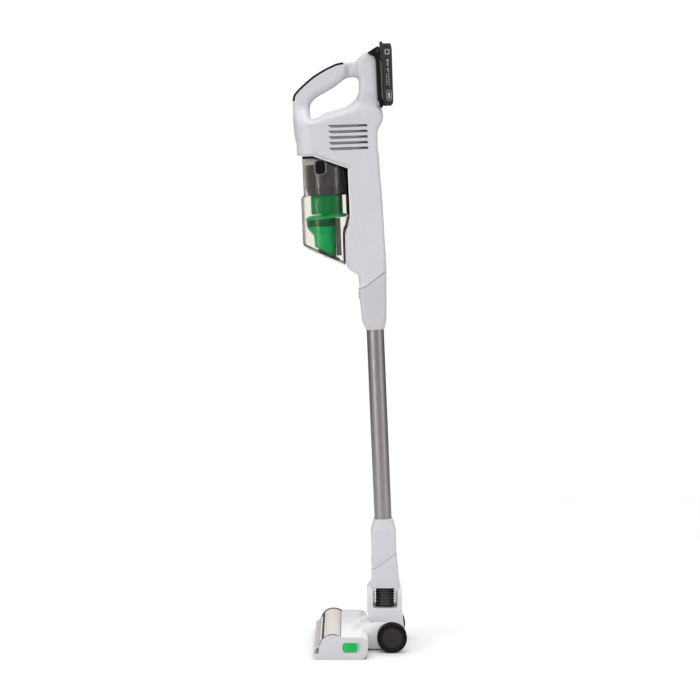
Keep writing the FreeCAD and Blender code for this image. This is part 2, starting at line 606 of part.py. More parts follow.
def suction():
    can = rod(24.0, 30.0, (0, size.bin_y, 945.0))
    cover = cut(rod(35.0, 23.0, (0, size.bin_y, 922.0)), rod(33.0, 21.0, (0, size.bin_y, 921.0)))
    bore = rod("shaft_radius + run_gap", 30.0, (0, size.bin_y, 921.0))
    node("suction_motor", cut(fuse(can, cover), bore), LEANED)
    hub = fuse(rod("shaft_radius", 24.0, (0, size.bin_y, 925.0)), rod(31.0, 2.0, (0, size.bin_y, 938.0)))
    blades = []
    for i in range(9):
        blade = box((2.0, 30.0), (-0.6, 0.6), (926.0, 938.5))
        blade.Placement = Placement(Vector(0, size.bin_y, 0), Rotation(Vector(0, 0, 1), 40.0 * i)).multiply(
            blade.Placement)
        blades.append(blade)
    node("impeller", fuse(hub, *blades), LEANED)
    ring = cut(rod(36.0, 3.4, (0, size.bin_y, 918.4)), rod(31.0, 6.0, (0, size.bin_y, 917.0)))
    clip = slab([(-130.0, 960.0), (-130.0, 917.2), (-100.0, 917.2), (-30.0, 890.4), (-30.0, 960.0)], 120.0)
    node("motor_mount", common(ring, clip), LEANED)


def electronics():
    board = box((-22.0, 22.0), (0.0, 1.6), (1008.0, 1078.0))
    chips = [box((x, x + 9.0), (-4.0, 0.2), (z, z + 12.0)) for x, z in
             ((-16.0, 1016.0), (-2.0, 1020.0), (8.0, 1044.0), (-14.0, 1050.0))]
    node("control_board", fuse(board, *chips), LEANED)


# ---------------------------------------------------------------- dust bin

def bin_solid(outline, shrink):
    """The bin's two stacked round stretches, cut to a side outline."""
    high = rod(size.bin_radius - shrink, 100.0, (0, size.bin_y, size.bin_step))
    low = rod(size.bin_low_radius - shrink, 150.0, (0, size.bin_low_y, size.bin_step - 150.0))
    return common(fuse(high, low), slab(outline, 120.0))


def latch_outline(gap):
    """The side outline of a bin latch, grown by a gap."""
    back, front = size.latch_y + size.latch_wide / 2 + gap, size.latch_y - size.latch_wide / 2 - gap
    low, high = size.latch_low - gap, size.latch_low + size.latch_high + gap
    return [(front, low, 8.0), (back, low, 8.0), (back, high, 8.0), (front, high, 8.0)]


def dust_bin():
    room = inset(BIN, size.wall)
    lifted = [(y, z + 30.0 if z > 860.0 else z) for y, z in room]
    lifted = [(y, z - 12.0 if z < 760.0 else z) for y, z in lifted]
    inlet = rod(12.0, 20.0, (0, -50.0, 868.0), "Y")
    latch_hole = slab(latch_outline(0.4), 120.0)
    shell = cut(bin_solid(BIN, 0.0), bin_solid(lifted, size.wall), inlet, latch_hole)
    node("dust_bin", shell, LEANED)


def bin_door():
    hinge_y, hinge_z, pin_length = -51.5, 711.9, 36.0
    plate = cut(bin_solid(DOOR, 0.6), box((-60.0, 60.0), (hinge_y, 0.0), (690.0, 730.0)))
    barrel = rod(1.94, 44.0, (-22.0, hinge_y, hinge_z), "X")
    seat = rod(1.05, 60.0, (-30.0, hinge_y, hinge_z), "X")
    node("bin_door", cut(fuse(plate, barrel), seat), LEANED)
    node("hinge_pin", rod(1.0, pin_length, (-pin_length / 2, hinge_y, hinge_z), "X"), LEANED)


def cyclone():
    diagonal = [(-130.0, 780.0), (-130.0, 912.6), (-101.1, 912.6), (-40.3, 888.0), (-40.3, 780.0)]
    rim = [(-130.0, 909.6), (-130.0, 912.6), (-101.1, 912.6), (-40.3, 888.0), (-40.3, 885.0),
           (-101.6, 909.6)]
    cup_room = inset(diagonal, 3.0)
    cup = common(cut(rod("cup_radius", 90.0, (0, size.cup_y, 839.0)),
                     rod("cup_radius - 2", 90.0, (0, size.cup_y, 842.0)),
                     rod(20.0, 10.0, (0, size.cup_y, 836.0))), slab(diagonal, 120.0))
    flange = cut(common(rod(size.bin_radius - size.wall - 0.3, 90.0, (0, size.bin_y, 839.0)),
                        slab(rim, 120.0)), rod(30.0, 90.0, (0, size.cup_y, 840.0)))
    latch_room = [box((low, low + 10.0), (-99.0, -77.0), (876.0, 907.0)) for low in (36.6, -46.6)]
    node("filter_cup", cut(fuse(cup, flange), *latch_room), LEANED)
    filter_ring = cut(rod(31.0, 38.0, (0, size.cup_y, 842.2)), rod(16.0, 60.0, (0, size.cup_y, 840.0)))
    clip = slab([(y, z - 0.4) for y, z in cup_room], 120.0)
    node("pleated_filter", common(filter_ring, clip), LEANED)
    screen = cut(rod("screen_radius", 33.6, (0, size.cup_y - 1.0, 805.2)),
                 rod("screen_radius - 1.6", 40.0, (0, size.cup_y - 1.0, 803.0)))
    node("cyclone_screen", screen, LEANED)
    skirt = rod("flange_radius", 8.0, (0, size.bin_low_y + 0.6, 797.0))
    funnel = cone("cone_radius", 25.8, 22.0, (0, size.cone_y - 6.0, 770.0))
    tail = rod("cone_radius", 62.0, (0, size.cone_y, 736.0))
    hollow = rod("cone_radius - 2", 60.0, (0, size.cone_y, 730.0))
    slope = slab([(-125.0, 820.0), (-125.0, 756.8), (-58.0, 722.6), (-44.0, 722.6), (-44.0, 820.0)], 120.0)
    node("cyclone_cone", common(cut(fuse(skirt, funnel, tail), hollow), slope), LEANED)


def bin_latch(side):
    start = size.latch_in if side > 0 else -size.latch_in - size.latch_thick
    name = "bin_latch_left" if side > 0 else "bin_latch_right"
    node(name, slab(latch_outline(0.0), "latch_thick", start), LEANED)


# ---------------------------------------------------------------- battery pack

def battery():
    whole = fuse(slab(PACK_CORE, "2 * core_half"), slab(PACK_EDGE, "2 * pack_half"))
    room = slab(PACK_ROOM, "2 * core_half - 3")
    pocket = box((-10.3, 10.3), (20.0, 35.4), (1102.4, 1120.0))
    shell = cut(whole, room, pocket)
    split = 40.0
    front_half = box((-50.0, 50.0), (0.0, split), (980.0, 1120.0))
    back_half = box((-50.0, 50.0), (split, 60.0), (980.0, 1120.0))
    node("battery_front_case", common(shell, front_half), LEANED)
    node("battery_back_case", common(copy_of(shell), back_half), LEANED)
    cells = [rod("cell_radius", "cell_length", (-size.cell_length / 2, size.cell_y,
                                                size.cell_low + i * size.cell_pitch), "X")
             for i in range(int(size.cell_count))]
    node("battery_cells", group(*cells), LEANED)
    node("battery_latch", box((-10.0, 10.0), (29.0, 35.0), (1106.0, 1115.6)), LEANED)
    dock = fuse(slab(DOCK, "2 * pack_half"), slab(DOCK_LIP, 1.5, 35.5), slab(DOCK_LIP, 1.5, -37.0))
    recess = box((-16.2, 16.2), (24.4, 30.0), (1035.8, 1062.2))
    node("battery_dock", cut(dock, recess), LEANED)
    blades = [box((x - 0.4, x + 0.4), (25.4, 28.0), (1040.0, 1058.0)) for x in (-10.0, -3.5, 3.5, 10.0)]
    node("terminal_block", fuse(box((-16.0, 16.0), (24.4, 26.0), (1036.0, 1062.0)), *blades), LEANED)


# ---------------------------------------------------------------- assembly

def build():
    head_cover()
    head_chassis()
    sole()
    mirrored_pair(end_cap)
    brush_window()
    brush()
    brush_drive()
    brush_slider()
    axles_and_wheels()
    air_duct()
    yoke()
    neck()
    hose()
    wand()
    housing()
    grip()
    inlet_duct()
    suction()
    electronics()
    dust_bin()
    bin_door()
    cyclone()
    mirrored_pair(bin_latch)
    battery()
    doc.recompute()


def check():
    """Stops on any object that failed and on any sub-part that isn't a sound solid."""
    for thing in doc.Objects:
        if "Invalid" in thing.State or "Error" in thing.State:
            raise RuntimeError(f"{thing.Name} {thing.Label} failed: {thing.State}")
    for name, thing in nodes.items():
        shape = thing.Shape
        if shape.isNull() or not shape.isValid() or not shape.Solids:
            raise RuntimeError(f"{name} is not a sound solid")
        print(f"{name:24s} solids {len(shape.Solids):2d} volume {shape.Volume / 1000:9.2f} cm3")


def write():
    os.makedirs("parts", exist_ok=True)
    for name, thing in nodes.items():
        thing.Shape.exportStep(f"parts/{name}.step")
    whole = Part.makeCompound([thing.Shape for thing in nodes.values()]).BoundBox
    print(len(nodes), "nodes", whole)


build()
check()
write()
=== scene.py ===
"""Looks of the cordless stick vacuum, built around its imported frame.

Pieces above the floor head are drawn in millimetres beside the wand tube's axis, as (across, back, up),
and then leaned with the frame. Pieces of the floor head are drawn in millimetres in the row frame.
"""
import json
import math
import random

import bmesh
import bpy
import numpy as np
from mathutils import Matrix, Vector


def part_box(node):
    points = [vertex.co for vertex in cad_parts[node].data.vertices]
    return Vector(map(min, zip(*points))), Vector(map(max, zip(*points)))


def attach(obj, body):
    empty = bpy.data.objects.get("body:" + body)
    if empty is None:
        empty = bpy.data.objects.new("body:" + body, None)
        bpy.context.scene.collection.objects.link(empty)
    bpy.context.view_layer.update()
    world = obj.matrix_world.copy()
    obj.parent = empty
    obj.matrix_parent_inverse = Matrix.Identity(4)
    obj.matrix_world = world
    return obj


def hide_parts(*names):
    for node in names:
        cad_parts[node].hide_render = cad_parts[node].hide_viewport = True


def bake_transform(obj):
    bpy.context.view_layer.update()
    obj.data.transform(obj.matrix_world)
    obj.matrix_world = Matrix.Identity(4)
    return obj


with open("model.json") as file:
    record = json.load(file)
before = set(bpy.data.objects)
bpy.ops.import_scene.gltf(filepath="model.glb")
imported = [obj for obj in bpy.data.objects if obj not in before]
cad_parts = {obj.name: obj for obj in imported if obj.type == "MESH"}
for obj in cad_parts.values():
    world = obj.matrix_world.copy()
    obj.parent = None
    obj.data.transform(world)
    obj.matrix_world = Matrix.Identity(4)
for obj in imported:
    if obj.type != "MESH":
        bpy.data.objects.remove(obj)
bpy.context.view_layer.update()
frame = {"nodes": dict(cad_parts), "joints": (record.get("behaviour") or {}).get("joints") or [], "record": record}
MM = 0.001
TUBE_MIDDLE = 408.0
joints = {joint["name"]: joint for joint in frame["joints"]}


# ---- places worked out from the frame

def middle(node):
    low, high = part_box(node)
    return (low + high) / 2


def leaned_frame():
    """Millimetres beside the tube axis to the row frame's metres."""
    up = Vector(joints["wand_lift"]["axis"]).normalized()
    across = Vector((1, 0, 0))
    back = up.cross(across)
    foot = middle("wand_tube") - up * (TUBE_MIDDLE * MM)
    turn = Matrix((across, back, up)).transposed().to_4x4()
    return Matrix.Translation(foot) @ turn @ Matrix.Scale(MM, 4)


LEANED = leaned_frame()
UPRIGHT = Matrix.Scale(MM, 4)
AXLE = Vector(joints["head_pitch"]["pos_m"]) / MM
SWIVEL = Vector(joints["neck_swivel"]["pos_m"]) / MM
BRUSH = Vector(joints["brush_spin"]["pos_m"]) / MM
WINDOW_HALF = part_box("brush_window")[1].x / MM


# ---- materials

def shader(name, color, roughness, **sockets):
    material = bpy.data.materials.new(name)
    material.use_nodes = True
    tree = material.node_tree
    bsdf = tree.nodes["Principled BSDF"]
    bsdf.inputs["Base Color"].default_value = (*color, 1)
    bsdf.inputs["Roughness"].default_value = roughness
    for socket, value in sockets.items():
        bsdf.inputs[socket.replace("_", " ")].default_value = value
    return material, tree, bsdf


def added(tree, kind, **values):
    """A new node with values on its sockets."""
    node = tree.nodes.new("ShaderNode" + kind)
    for socket, value in values.items():
        node.inputs[socket.replace("_", " ")].default_value = value
    return node


def scaled_coords(tree, scale):
    mapping = added(tree, "Mapping", Scale=scale)
    tree.links.new(added(tree, "TexCoord").outputs["Object"], mapping.inputs["Vector"])
    return mapping.outputs["Vector"]


def noise(tree, scale, detail=3.0, stretch=(1, 1, 1)):
    texture = added(tree, "TexNoise", Scale=scale, Detail=detail)
    tree.links.new(scaled_coords(tree, stretch), texture.inputs["Vector"])
    return texture.outputs["Fac"]


def ramp(tree, source, low, high, start=0.3, end=0.7):
    node = added(tree, "MapRange", From_Min=start, From_Max=end, To_Min=low, To_Max=high)
    tree.links.new(source, node.inputs["Value"])
    return node.outputs["Result"]


def maths(tree, operation, first, second):
    node = added(tree, "Math")
    node.operation = operation
    for socket, value in zip(node.inputs, (first, second)):
        if isinstance(value, (int, float)):
            socket.default_value = value
        else:
            tree.links.new(value, socket)
    return node.outputs["Value"]


def tint(tree, source, first, second):
    node = tree.nodes.new("ShaderNodeMix")
    node.data_type = "RGBA"
    node.inputs["A"].default_value = (*first, 1)
    node.inputs["B"].default_value = (*second, 1)
    tree.links.new(source, node.inputs["Factor"])
    return node.outputs["Result"]


def bump(tree, bsdf, source, strength, distance):
    node = added(tree, "Bump", Strength=strength, Distance=distance)
    tree.links.new(source, node.inputs["Height"])
    tree.links.new(node.outputs["Normal"], bsdf.inputs["Normal"])


def moulded(name, color, roughness=0.35, grain=900, depth=0.25, spread=0.05, **sockets):
    """Moulded plastic: fine grain, faint flow marks in colour, and uneven polish."""
    material, tree, bsdf = shader(name, color, roughness, **sockets)
    cloud = ramp(tree, noise(tree, 18), 0, 1)
    darker = [channel * (1 - spread) for channel in color]
    tree.links.new(tint(tree, cloud, color, darker), bsdf.inputs["Base Color"])
    polish = ramp(tree, noise(tree, 60, 5), roughness * 0.85, roughness * 1.2)
    tree.links.new(polish, bsdf.inputs["Roughness"])
    bump(tree, bsdf, noise(tree, grain, 2), depth, 0.00004)
    return material


def brushed(name, color, roughness, stretch):
    """Drawn or turned metal with fine streaks along one direction."""
    material, tree, bsdf = shader(name, color, roughness, Metallic=1.0, Anisotropic=0.4)
    streaks = noise(tree, 1.0, 4, stretch)
    darker = [channel * 0.8 for channel in color]
    tree.links.new(tint(tree, ramp(tree, streaks, 0, 1), color, darker), bsdf.inputs["Base Color"])
    tree.links.new(ramp(tree, streaks, roughness * 0.8, roughness * 1.25), bsdf.inputs["Roughness"])
    bump(tree, bsdf, streaks, 0.15, 0.00003)
    return material


def clear(name, color, roughness, transmission, edge, edge_amount, ior=1.45, coat=0.0):
    """Clear plastic with faint moulding waves; its edges gather the tint."""
    material, tree, bsdf = shader(name, color, roughness, IOR=ior, Transmission_Weight=transmission,
                                  Coat_Weight=coat, Coat_Roughness=0.2)
    bump(tree, bsdf, noise(tree, 25, 2), 0.04, 0.0004)
    facing = added(tree, "LayerWeight", Blend=0.5)
    shade = tint(tree, ramp(tree, facing.outputs["Facing"], 0, edge_amount, 0.50, 0.78), color, edge)
    tree.links.new(shade, bsdf.inputs["Base Color"])
    return material


def pleated(name, color):
    material, tree, bsdf = shader(name, color, 0.9)
    wave = added(tree, "TexWave", Scale=180)
    tree.links.new(scaled_coords(tree, (1, 1, 0.02)), wave.inputs["Vector"])
    bump(tree, bsdf, wave.outputs["Fac"], 0.8, 0.001)
    return material


WHITE = (0.570, 0.560, 0.592)
MATERIALS = {
    "white_plastic": moulded("white_plastic", WHITE, 0.34, spread=0.03),
    "grey_plastic": moulded("grey_plastic", (0.16, 0.16, 0.17), 0.45),
    "dark_plastic": moulded("dark_plastic", (0.026, 0.022, 0.026), 0.24, depth=0.15,
                            Specular_IOR_Level=0.4),
    "black_plastic": moulded("black_plastic", (0.004, 0.004, 0.005), 0.38, grain=1400,
                             Specular_IOR_Level=0.15),
    "grip_rubber": moulded("grip_rubber", (0.012, 0.012, 0.014), 0.62, 1800, 0.6, Specular_IOR_Level=0.2),
    "battery_plastic": moulded("battery_plastic", (0.036, 0.030, 0.028), 0.55, 1500, 0.5,
                               Specular_IOR_Level=0.15),
    "green_plastic": moulded("green_plastic", (0.0, 0.33, 0.085), 0.28, depth=0.1, spread=0.10,
                             Specular_IOR_Level=0.12),
    "lime_plastic": moulded("lime_plastic", (0.010, 0.43, 0.085), 0.30, depth=0.1, Specular_IOR_Level=0.25),
    "clear_smoke": clear("clear_smoke", (0.925, 0.905, 0.865), 0.03, transmission=1.0,
                         edge=(0.05, 0.04, 0.04), edge_amount=1.0, ior=1.12, coat=0.15),
    "clear_cream": clear("clear_cream", (0.97, 0.91, 0.86), 0.16, transmission=0.15,
                         edge=(0.70, 0.64, 0.60), edge_amount=0.3),
    "frosted": clear("frosted", (0.76, 0.73, 0.71), 0.22, transmission=0.25,
                     edge=(0.35, 0.33, 0.32), edge_amount=0.3),
    "tube_metal": brushed("tube_metal", (0.32, 0.30, 0.305), 0.40, (2500, 2500, 30)),
    "steel": brushed("steel", (0.55, 0.55, 0.57), 0.25, (900, 900, 900)),
    "tyre": moulded("tyre", (0.004, 0.003, 0.004), 0.55, 1300, 0.5, Specular_IOR_Level=0.1),
    "bristle": moulded("bristle", (0.05, 0.05, 0.055), 0.7, grain=2500, depth=1.0),
    "filter_paper": pleated("filter_paper", (0.75, 0.73, 0.68)),
    "motor_metal": brushed("motor_metal", (0.40, 0.40, 0.42), 0.35, (80, 80, 1500)),
    "board_green": moulded("board_green", (0.02, 0.12, 0.05), 0.40),
    "belt_rubber": moulded("belt_rubber", (0.02, 0.02, 0.02), 0.7, grain=1500, depth=0.8),
    "hose_plastic": moulded("hose_plastic", (0.022, 0.020, 0.022), 0.28, depth=0.1),
    "cell_wrap": moulded("cell_wrap", (0.02, 0.10, 0.35), 0.25, depth=0.05),
}
LIGHT_MARK = moulded("printed_mark", (0.34, 0.32, 0.31), 0.5)
SILVER = moulded("silver_band", (0.36, 0.35, 0.36), 0.30, depth=0.1)
# Painted shadow: a dark copy of the green for the shade under the cyclone cone's flange.
SHADOWED_GREEN = moulded("green_painted_shadow", (0.0, 0.080, 0.020), 0.32, depth=0.1, spread=0.10,
                     Specular_IOR_Level=0.12)
# Painted shade: a grey for the shade inside the vents and behind the bin's cone.
PAINTED_SHADE_GREY = moulded("painted_shade_grey", (0.26, 0.255, 0.27), 0.45)
# Painted shade: a darker copy of the white plastic for the wand connectors, the neck and the end caps.
SHADED_WHITE = moulded("white_painted_shade", (0.50, 0.49, 0.515), 0.34, spread=0.03)
# Painted light: a brighter copy of the white plastic for the top of the floor head's cover.
LIT_WHITE = moulded("white_painted_light", (0.74, 0.73, 0.735), 0.34, spread=0.03)
DISC = moulded("wheel_disc", (0.020, 0.015, 0.018), 0.36, depth=0.15, Specular_IOR_Level=0.2)
LATCH_FRAME = moulded("latch_frame", (0.13, 0.125, 0.13), 0.30, depth=0.1)
RAIL = moulded("dock_rail", (0.050, 0.047, 0.050), 0.30, depth=0.1)
SLOT_OF = {part["node"]: part["material_slot"] for part in frame["record"]["subparts"]}


# ---- mesh helpers

def placed(name, data):
    """A new object of the scene."""
    thing = bpy.data.objects.new(name, data)
    bpy.context.scene.collection.objects.link(thing)
    return thing


def mesh_object(name, mesh):
    """A mesh being built, as a new object of the scene."""
    data = bpy.data.meshes.new(name)
    mesh.to_mesh(data)
    mesh.free()
    return placed(name, data)


def finish(name, mesh, body, nodes=(), place=LEANED, material=None, sharp=0.6):
    """Makes a piece of a mesh in millimetres: places it, shades it, gives it its material and its body."""
    if isinstance(mesh, bmesh.types.BMesh):
        bmesh.ops.recalc_face_normals(mesh, faces=mesh.faces)
        for face in mesh.faces:
            face.smooth = True
        for edge in mesh.edges:
            edge.smooth = edge.calc_face_angle(0.0) < sharp
        data = bpy.data.meshes.new(name)
        mesh.to_mesh(data)
        mesh.free()
    else:
        data = mesh
    data.transform(place)
    piece = placed(name, data)
    slot = SLOT_OF[nodes[0]] if nodes else None
    piece.data.materials.clear()
    piece.data.materials.append(material or MATERIALS[slot])
    if slot:
        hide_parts(*nodes)
    if body:
        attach(piece, body)
    return piece


def smooth_line(points, steps=6, closed=True):
    """A Catmull-Rom line through the points."""
    found = []
    count = len(points)
    spans = count if closed else count - 1
    for i in range(spans):
        if closed:
            p = [np.array(points[(i + k) % count], float) for k in (-1, 0, 1, 2)]
        else:
            p = [np.array(points[min(max(i + k, 0), count - 1)], float) for k in (-1, 0, 1, 2)]
        for step in range(steps):
            t = step / steps
            found.append(tuple(0.5 * (2 * p[1] + (p[2] - p[0]) * t
                                      + (2 * p[0] - 5 * p[1] + 4 * p[2] - p[3]) * t * t
                                      + (3 * p[1] - p[0] - 3 * p[2] + p[3]) * t ** 3)))
    if not closed:
        found.append(tuple(points[-1]))
    return found


def bevel_sharp(mesh, width, segments=3, angle=0.4):
    edges = [e for e in mesh.edges if len(e.link_faces) == 2 and e.calc_face_angle(0.0) > angle]
    bmesh.ops.bevel(mesh, geom=edges, offset=width, segments=segments, profile=0.5,
                    affect="EDGES", clamp_overlap=True)


def prism(outline, low, high, bevel=0.0, segments=3):
    """A side outline (back, up) extruded across, with rounded edges."""
    mesh = bmesh.new()
    verts = [mesh.verts.new((low, y, z)) for y, z in outline]
    face = mesh.faces.new(verts)
    new = bmesh.ops.extrude_face_region(mesh, geom=[face])
    for vert in [v for v in new["geom"] if isinstance(v, bmesh.types.BMVert)]:
        vert.co.x = high
    bmesh.ops.recalc_face_normals(mesh, faces=mesh.faces)
    if bevel:
        bevel_sharp(mesh, bevel, segments)
    return mesh


def block(x, y, z, bevel=0.0, segments=3):
    return prism([(y[0], z[0]), (y[1], z[0]), (y[1], z[1]), (y[0], z[1])], x[0], x[1], bevel, segments)


def arc(centre, radius, first, last, steps):
    turns = [math.radians(first + (last - first) * i / steps) for i in range(steps + 1)]
    return [(centre[0] + radius * math.cos(a), centre[1] + radius * math.sin(a)) for a in turns]


def rounded_box(cy, cz, wide, high, radius, steps=6):
    """A rounded rectangle's outline about a centre."""
    a, b = wide / 2 - radius, high / 2 - radius
    found = []
    for sy, sz, first in ((1, 1, 0), (-1, 1, 90), (-1, -1, 180), (1, -1, 270)):
        found += arc((cy + sy * a, cz + sz * b), radius, first, first + 90, steps)
    return found


def lathe(profile, steps=96, closed=True):
    """A profile of (radius, height) turned about Z."""
    mesh = bmesh.new()
    rings = []
    for i in range(steps):
        turn = 2 * math.pi * i / steps
        rings.append([mesh.verts.new((r * math.cos(turn), r * math.sin(turn), h)) for r, h in profile])
    count = len(profile)
    for i in range(steps):
        here, there = rings[i], rings[(i + 1) % steps]
        for k in range(count if closed else count - 1):
            mesh.faces.new((here[k], there[k], there[(k + 1) % count], here[(k + 1) % count]))
    return mesh


def moved(mesh, matrix):
    bmesh.ops.transform(mesh, matrix=matrix, verts=mesh.verts)
    return mesh


def joined(*meshes):
    """Several meshes as one, each still its own shell."""
    whole = bmesh.new()
    for part in meshes:
        data = bpy.data.meshes.new("part")
        part.to_mesh(data)
        part.free()
        whole.from_mesh(data)
        bpy.data.meshes.remove(data)
    return whole


def loft(rings, cap=True):
    """A skin over rings of the same number of points."""
    mesh = bmesh.new()
    rows = [[mesh.verts.new(point) for point in ring] for ring in rings]
    count = len(rows[0])
    for low, high in zip(rows, rows[1:]):
        for k in range(count):
            mesh.faces.new((low[k], low[(k + 1) % count], high[(k + 1) % count], high[k]))
    if cap:
        mesh.faces.new(rows[0][::-1])
        mesh.faces.new(rows[-1])
    return mesh


def sleeve(sections):
    """A tapering closed solid: sections of (height, front, back, half width, corner radius)."""
    rings = []
    for z, front, back, half, radius in sections:
        wide, deep = 2 * half, back - front
        outline = rounded_box(0, (front + back) / 2, wide, deep, radius, 8)
        rings.append([(x, y, z) for x, y in outline])
    return loft(rings)


def boolean(mesh, *cutters):
    """The mesh with each cutter taken out of it."""
    def as_object(source):
        bmesh.ops.recalc_face_normals(source, faces=source.faces)
        return mesh_object("solid", source)
    base = as_object(mesh)
    for cutter in cutters:
        tool = as_object(cutter)
        modifier = base.modifiers.new("cut", "BOOLEAN")
        modifier.operation = "DIFFERENCE"
        modifier.solver = "EXACT"
        modifier.object = tool
        result = evaluated(base)
        base.modifiers.clear()
        base.data = result
        bpy.data.objects.remove(tool)
    found = bmesh.new()
    found.from_mesh(base.data)
    bpy.data.objects.remove(base)
    return found


def evaluated(thing):
    graph = bpy.context.evaluated_depsgraph_get()
    graph.update()
    return bpy.data.meshes.new_from_object(thing.evaluated_get(graph))


def remeshed(mesh, voxel, smooth=0):
    """The same solid as an even skin of small squares."""
    thing = mesh_object("solid", mesh)
    modifier = thing.modifiers.new("voxels", "REMESH")
    modifier.mode = "VOXEL"
    modifier.voxel_size = voxel
    if smooth:
        relax = thing.modifiers.new("relax", "SMOOTH")
        relax.factor = 0.5
        relax.iterations = smooth
    result = evaluated(thing)
    bpy.data.objects.remove(thing)
    found = bmesh.new()
    found.from_mesh(result)
    bpy.data.meshes.remove(result)
    return found


def refined(node, bevel, segments=2):
    """A CAD node's own shape with its edges rounded, in millimetres of the row frame."""
    mesh = bmesh.new()
    mesh.from_mesh(frame["nodes"][node].data)
    bmesh.ops.scale(mesh, vec=(1 / MM,) * 3, verts=mesh.verts)
    bmesh.ops.remove_doubles(mesh, verts=mesh.verts, dist=0.002)
    bmesh.ops.dissolve_limit(mesh, angle_limit=0.02, verts=mesh.verts, edges=mesh.edges)
    bevel_sharp(mesh, bevel, segments, 0.45)
    return mesh


def keep_above(mesh, point, normal):
    """Cuts away what is below a plane and closes the cut."""
    geometry = mesh.verts[:] + mesh.edges[:] + mesh.faces[:]
    cut = bmesh.ops.bisect_plane(mesh, geom=geometry, plane_co=point, plane_no=normal, clear_inner=True)
    edges = [e for e in cut["geom_cut"] if isinstance(e, bmesh.types.BMEdge)]
    bmesh.ops.triangle_fill(mesh, use_beauty=True, edges=edges)
    return mesh


# ---- housing of the handheld unit

ROUND, TIGHT, SOFT, CHAMFER = 0, 1, 2, 3


def edged(kind, *points):
    """Points of a side outline (back, up) with the kind of edge that starts at each of them."""
    return [(*point, kind) for point in points]


OUTER = [
    *edged(TIGHT, (-127.9, 914.3)),
    *edged(SOFT, (-129.6, 916.0), (-129.9, 936.0), (-131.9, 944.0), (-133.4, 957.0)),
    *edged(ROUND, (-134.1, 975.0), (-133.9, 993.0), (-133.6, 1006.0)),
    *edged(TIGHT, (-133.0, 1017.0), (-128.9, 1026.2), (-118.6, 1036.4), (-106.2, 1046.4), (-92.2, 1056.6),
        (-73.9, 1066.7), (-50.2, 1076.6), (-38.4, 1079.0)),
    *edged(ROUND, (-37.6, 1080.3), (-24.0, 1081.2), (-11.6, 1081.8), (-11.2, 1085.4), (-6.6, 1089.6),
        (-2.6, 1093.0)),
    *edged(TIGHT, (2.7, 1096.6), (8.0, 1093.6), (17.7, 1088.2), (20.9, 1083.6), (21.9, 1065.0),
        (22.1, 1013.0), (23.4, 1001.0)),
    *edged(ROUND, (26.0, 998.2), (28.9, 990.0), (29.9, 981.0), (29.6, 973.0), (24.4, 962.5), (19.7, 954.0),
        (18.6, 940.0), (18.0, 921.0), (19.9, 909.0), (20.2, 888.0), (20.9, 864.0), (22.0, 850.0),
        (23.3, 798.0), (24.1, 753.0), (24.8, 720.0), (25.2, 700.0)),
    *edged(TIGHT, (24.6, 697.4), (21.3, 695.3), (7.0, 684.6), (-7.9, 674.0), (-12.0, 670.6),
        (-16.5, 668.8), (-24.2, 667.2)),
    *edged(SOFT, (-26.2, 677.0), (-27.2, 690.2), (-31.0, 693.6), (-37.0, 697.4), (-44.6, 703.6)),
    *edged(TIGHT, (-47.7, 710.7), (-47.6, 740.0), (-46.7, 771.2), (-43.4, 779.6), (-38.4, 789.6),
        (-36.6, 798.0), (-36.1, 806.0), (-36.5, 844.0), (-36.6, 882.6)),
    *edged(CHAMFER, (-36.0, 886.6), (-40.0, 889.6), (-60.0, 897.9), (-80.0, 905.9)),
    *edged(TIGHT, (-97.0, 912.8), (-102.0, 914.2), (-115.0, 914.4)),
]
LOOP = [
    *edged(SOFT, (-103.3, 991.0), (-102.9, 1001.0), (-100.8, 1008.6), (-96.4, 1014.0), (-89.0, 1019.6),
        (-80.8, 1024.0), (-70.0, 1029.4), (-60.0, 1034.7), (-50.0, 1041.0), (-42.0, 1047.0),
        (-36.0, 1051.0), (-30.0, 1052.6), (-20.0, 1052.8), (-14.0, 1051.6), (-11.6, 1048.0),
        (-11.4, 1040.0), (-11.8, 1030.6), (-13.4, 1021.6), (-16.8, 1015.6), (-21.6, 1010.0),
        (-28.0, 1004.6), (-36.0, 999.8), (-47.0, 996.4), (-58.0, 993.8), (-71.1, 990.9), (-77.0, 989.0),
        (-81.0, 986.0), (-86.0, 983.0), (-93.0, 981.2), (-99.0, 980.2), (-102.4, 982.4)),
]
EDGE_RADIUS = {ROUND: 9.0, TIGHT: 2.2, SOFT: 12.0}
CHAMFER_WIDTH, CHAMFER_DEPTH = 5.2, 4.5


def eased(value, low, high):
    t = np.clip((value - low) / (high - low), 0, 1)
    return t * t * (3 - 2 * t)


def housing_half_width(y, z):
    """Half the housing's width at a place in its side view: the handle and the tower are narrower."""
    plan = np.interp(y, (-135, -131, -125, -115, -102, -60, -36, -11, 31),
                     (20, 29, 37.5, 43.5, 46.4, 46.8, 43, 33, 29.5))
    nose = 24.6 + 24 * eased(z, 672, 812)
    body = np.minimum(plan, nose)
    leg = 15.8 - 8.4 * eased(y, -40, -28) + 7.4 * eased(y, -25, -21)
    rise = eased(z, 968 + 0.22 * np.clip(y + 100, 0, 90), 1006 + 0.22 * np.clip(y + 100, 0, 90))
    tower = eased(y, -17.5, -10.5)
    handle = body + (leg - body) * rise
    return handle + (np.minimum(body, 31.0) - handle) * tower * rise


def edge_distances(points, outlines):
    """For each point, its distance to the nearest edge of each kind."""
    found = {}
    for outline in outlines:
        for here, there in zip(outline, outline[1:] + outline[:1]):
            a, b = np.array(here[:2]), np.array(there[:2])
            along = b - a
            t = np.clip(((points - a) @ along) / (along @ along), 0, 1)
            away = np.linalg.norm(points - (a + t[:, None] * along), axis=1)
            kind = here[2]
            found[kind] = np.minimum(found.get(kind, 1e9), away)
    return found


def smooth_outline(outline, steps=4):
    """The outline rounded through its points, each stretch keeping its kind of edge."""
    line = smooth_line([point[:2] for point in outline], steps)
    return [(*point, outline[i // steps][2]) for i, point in enumerate(line)]


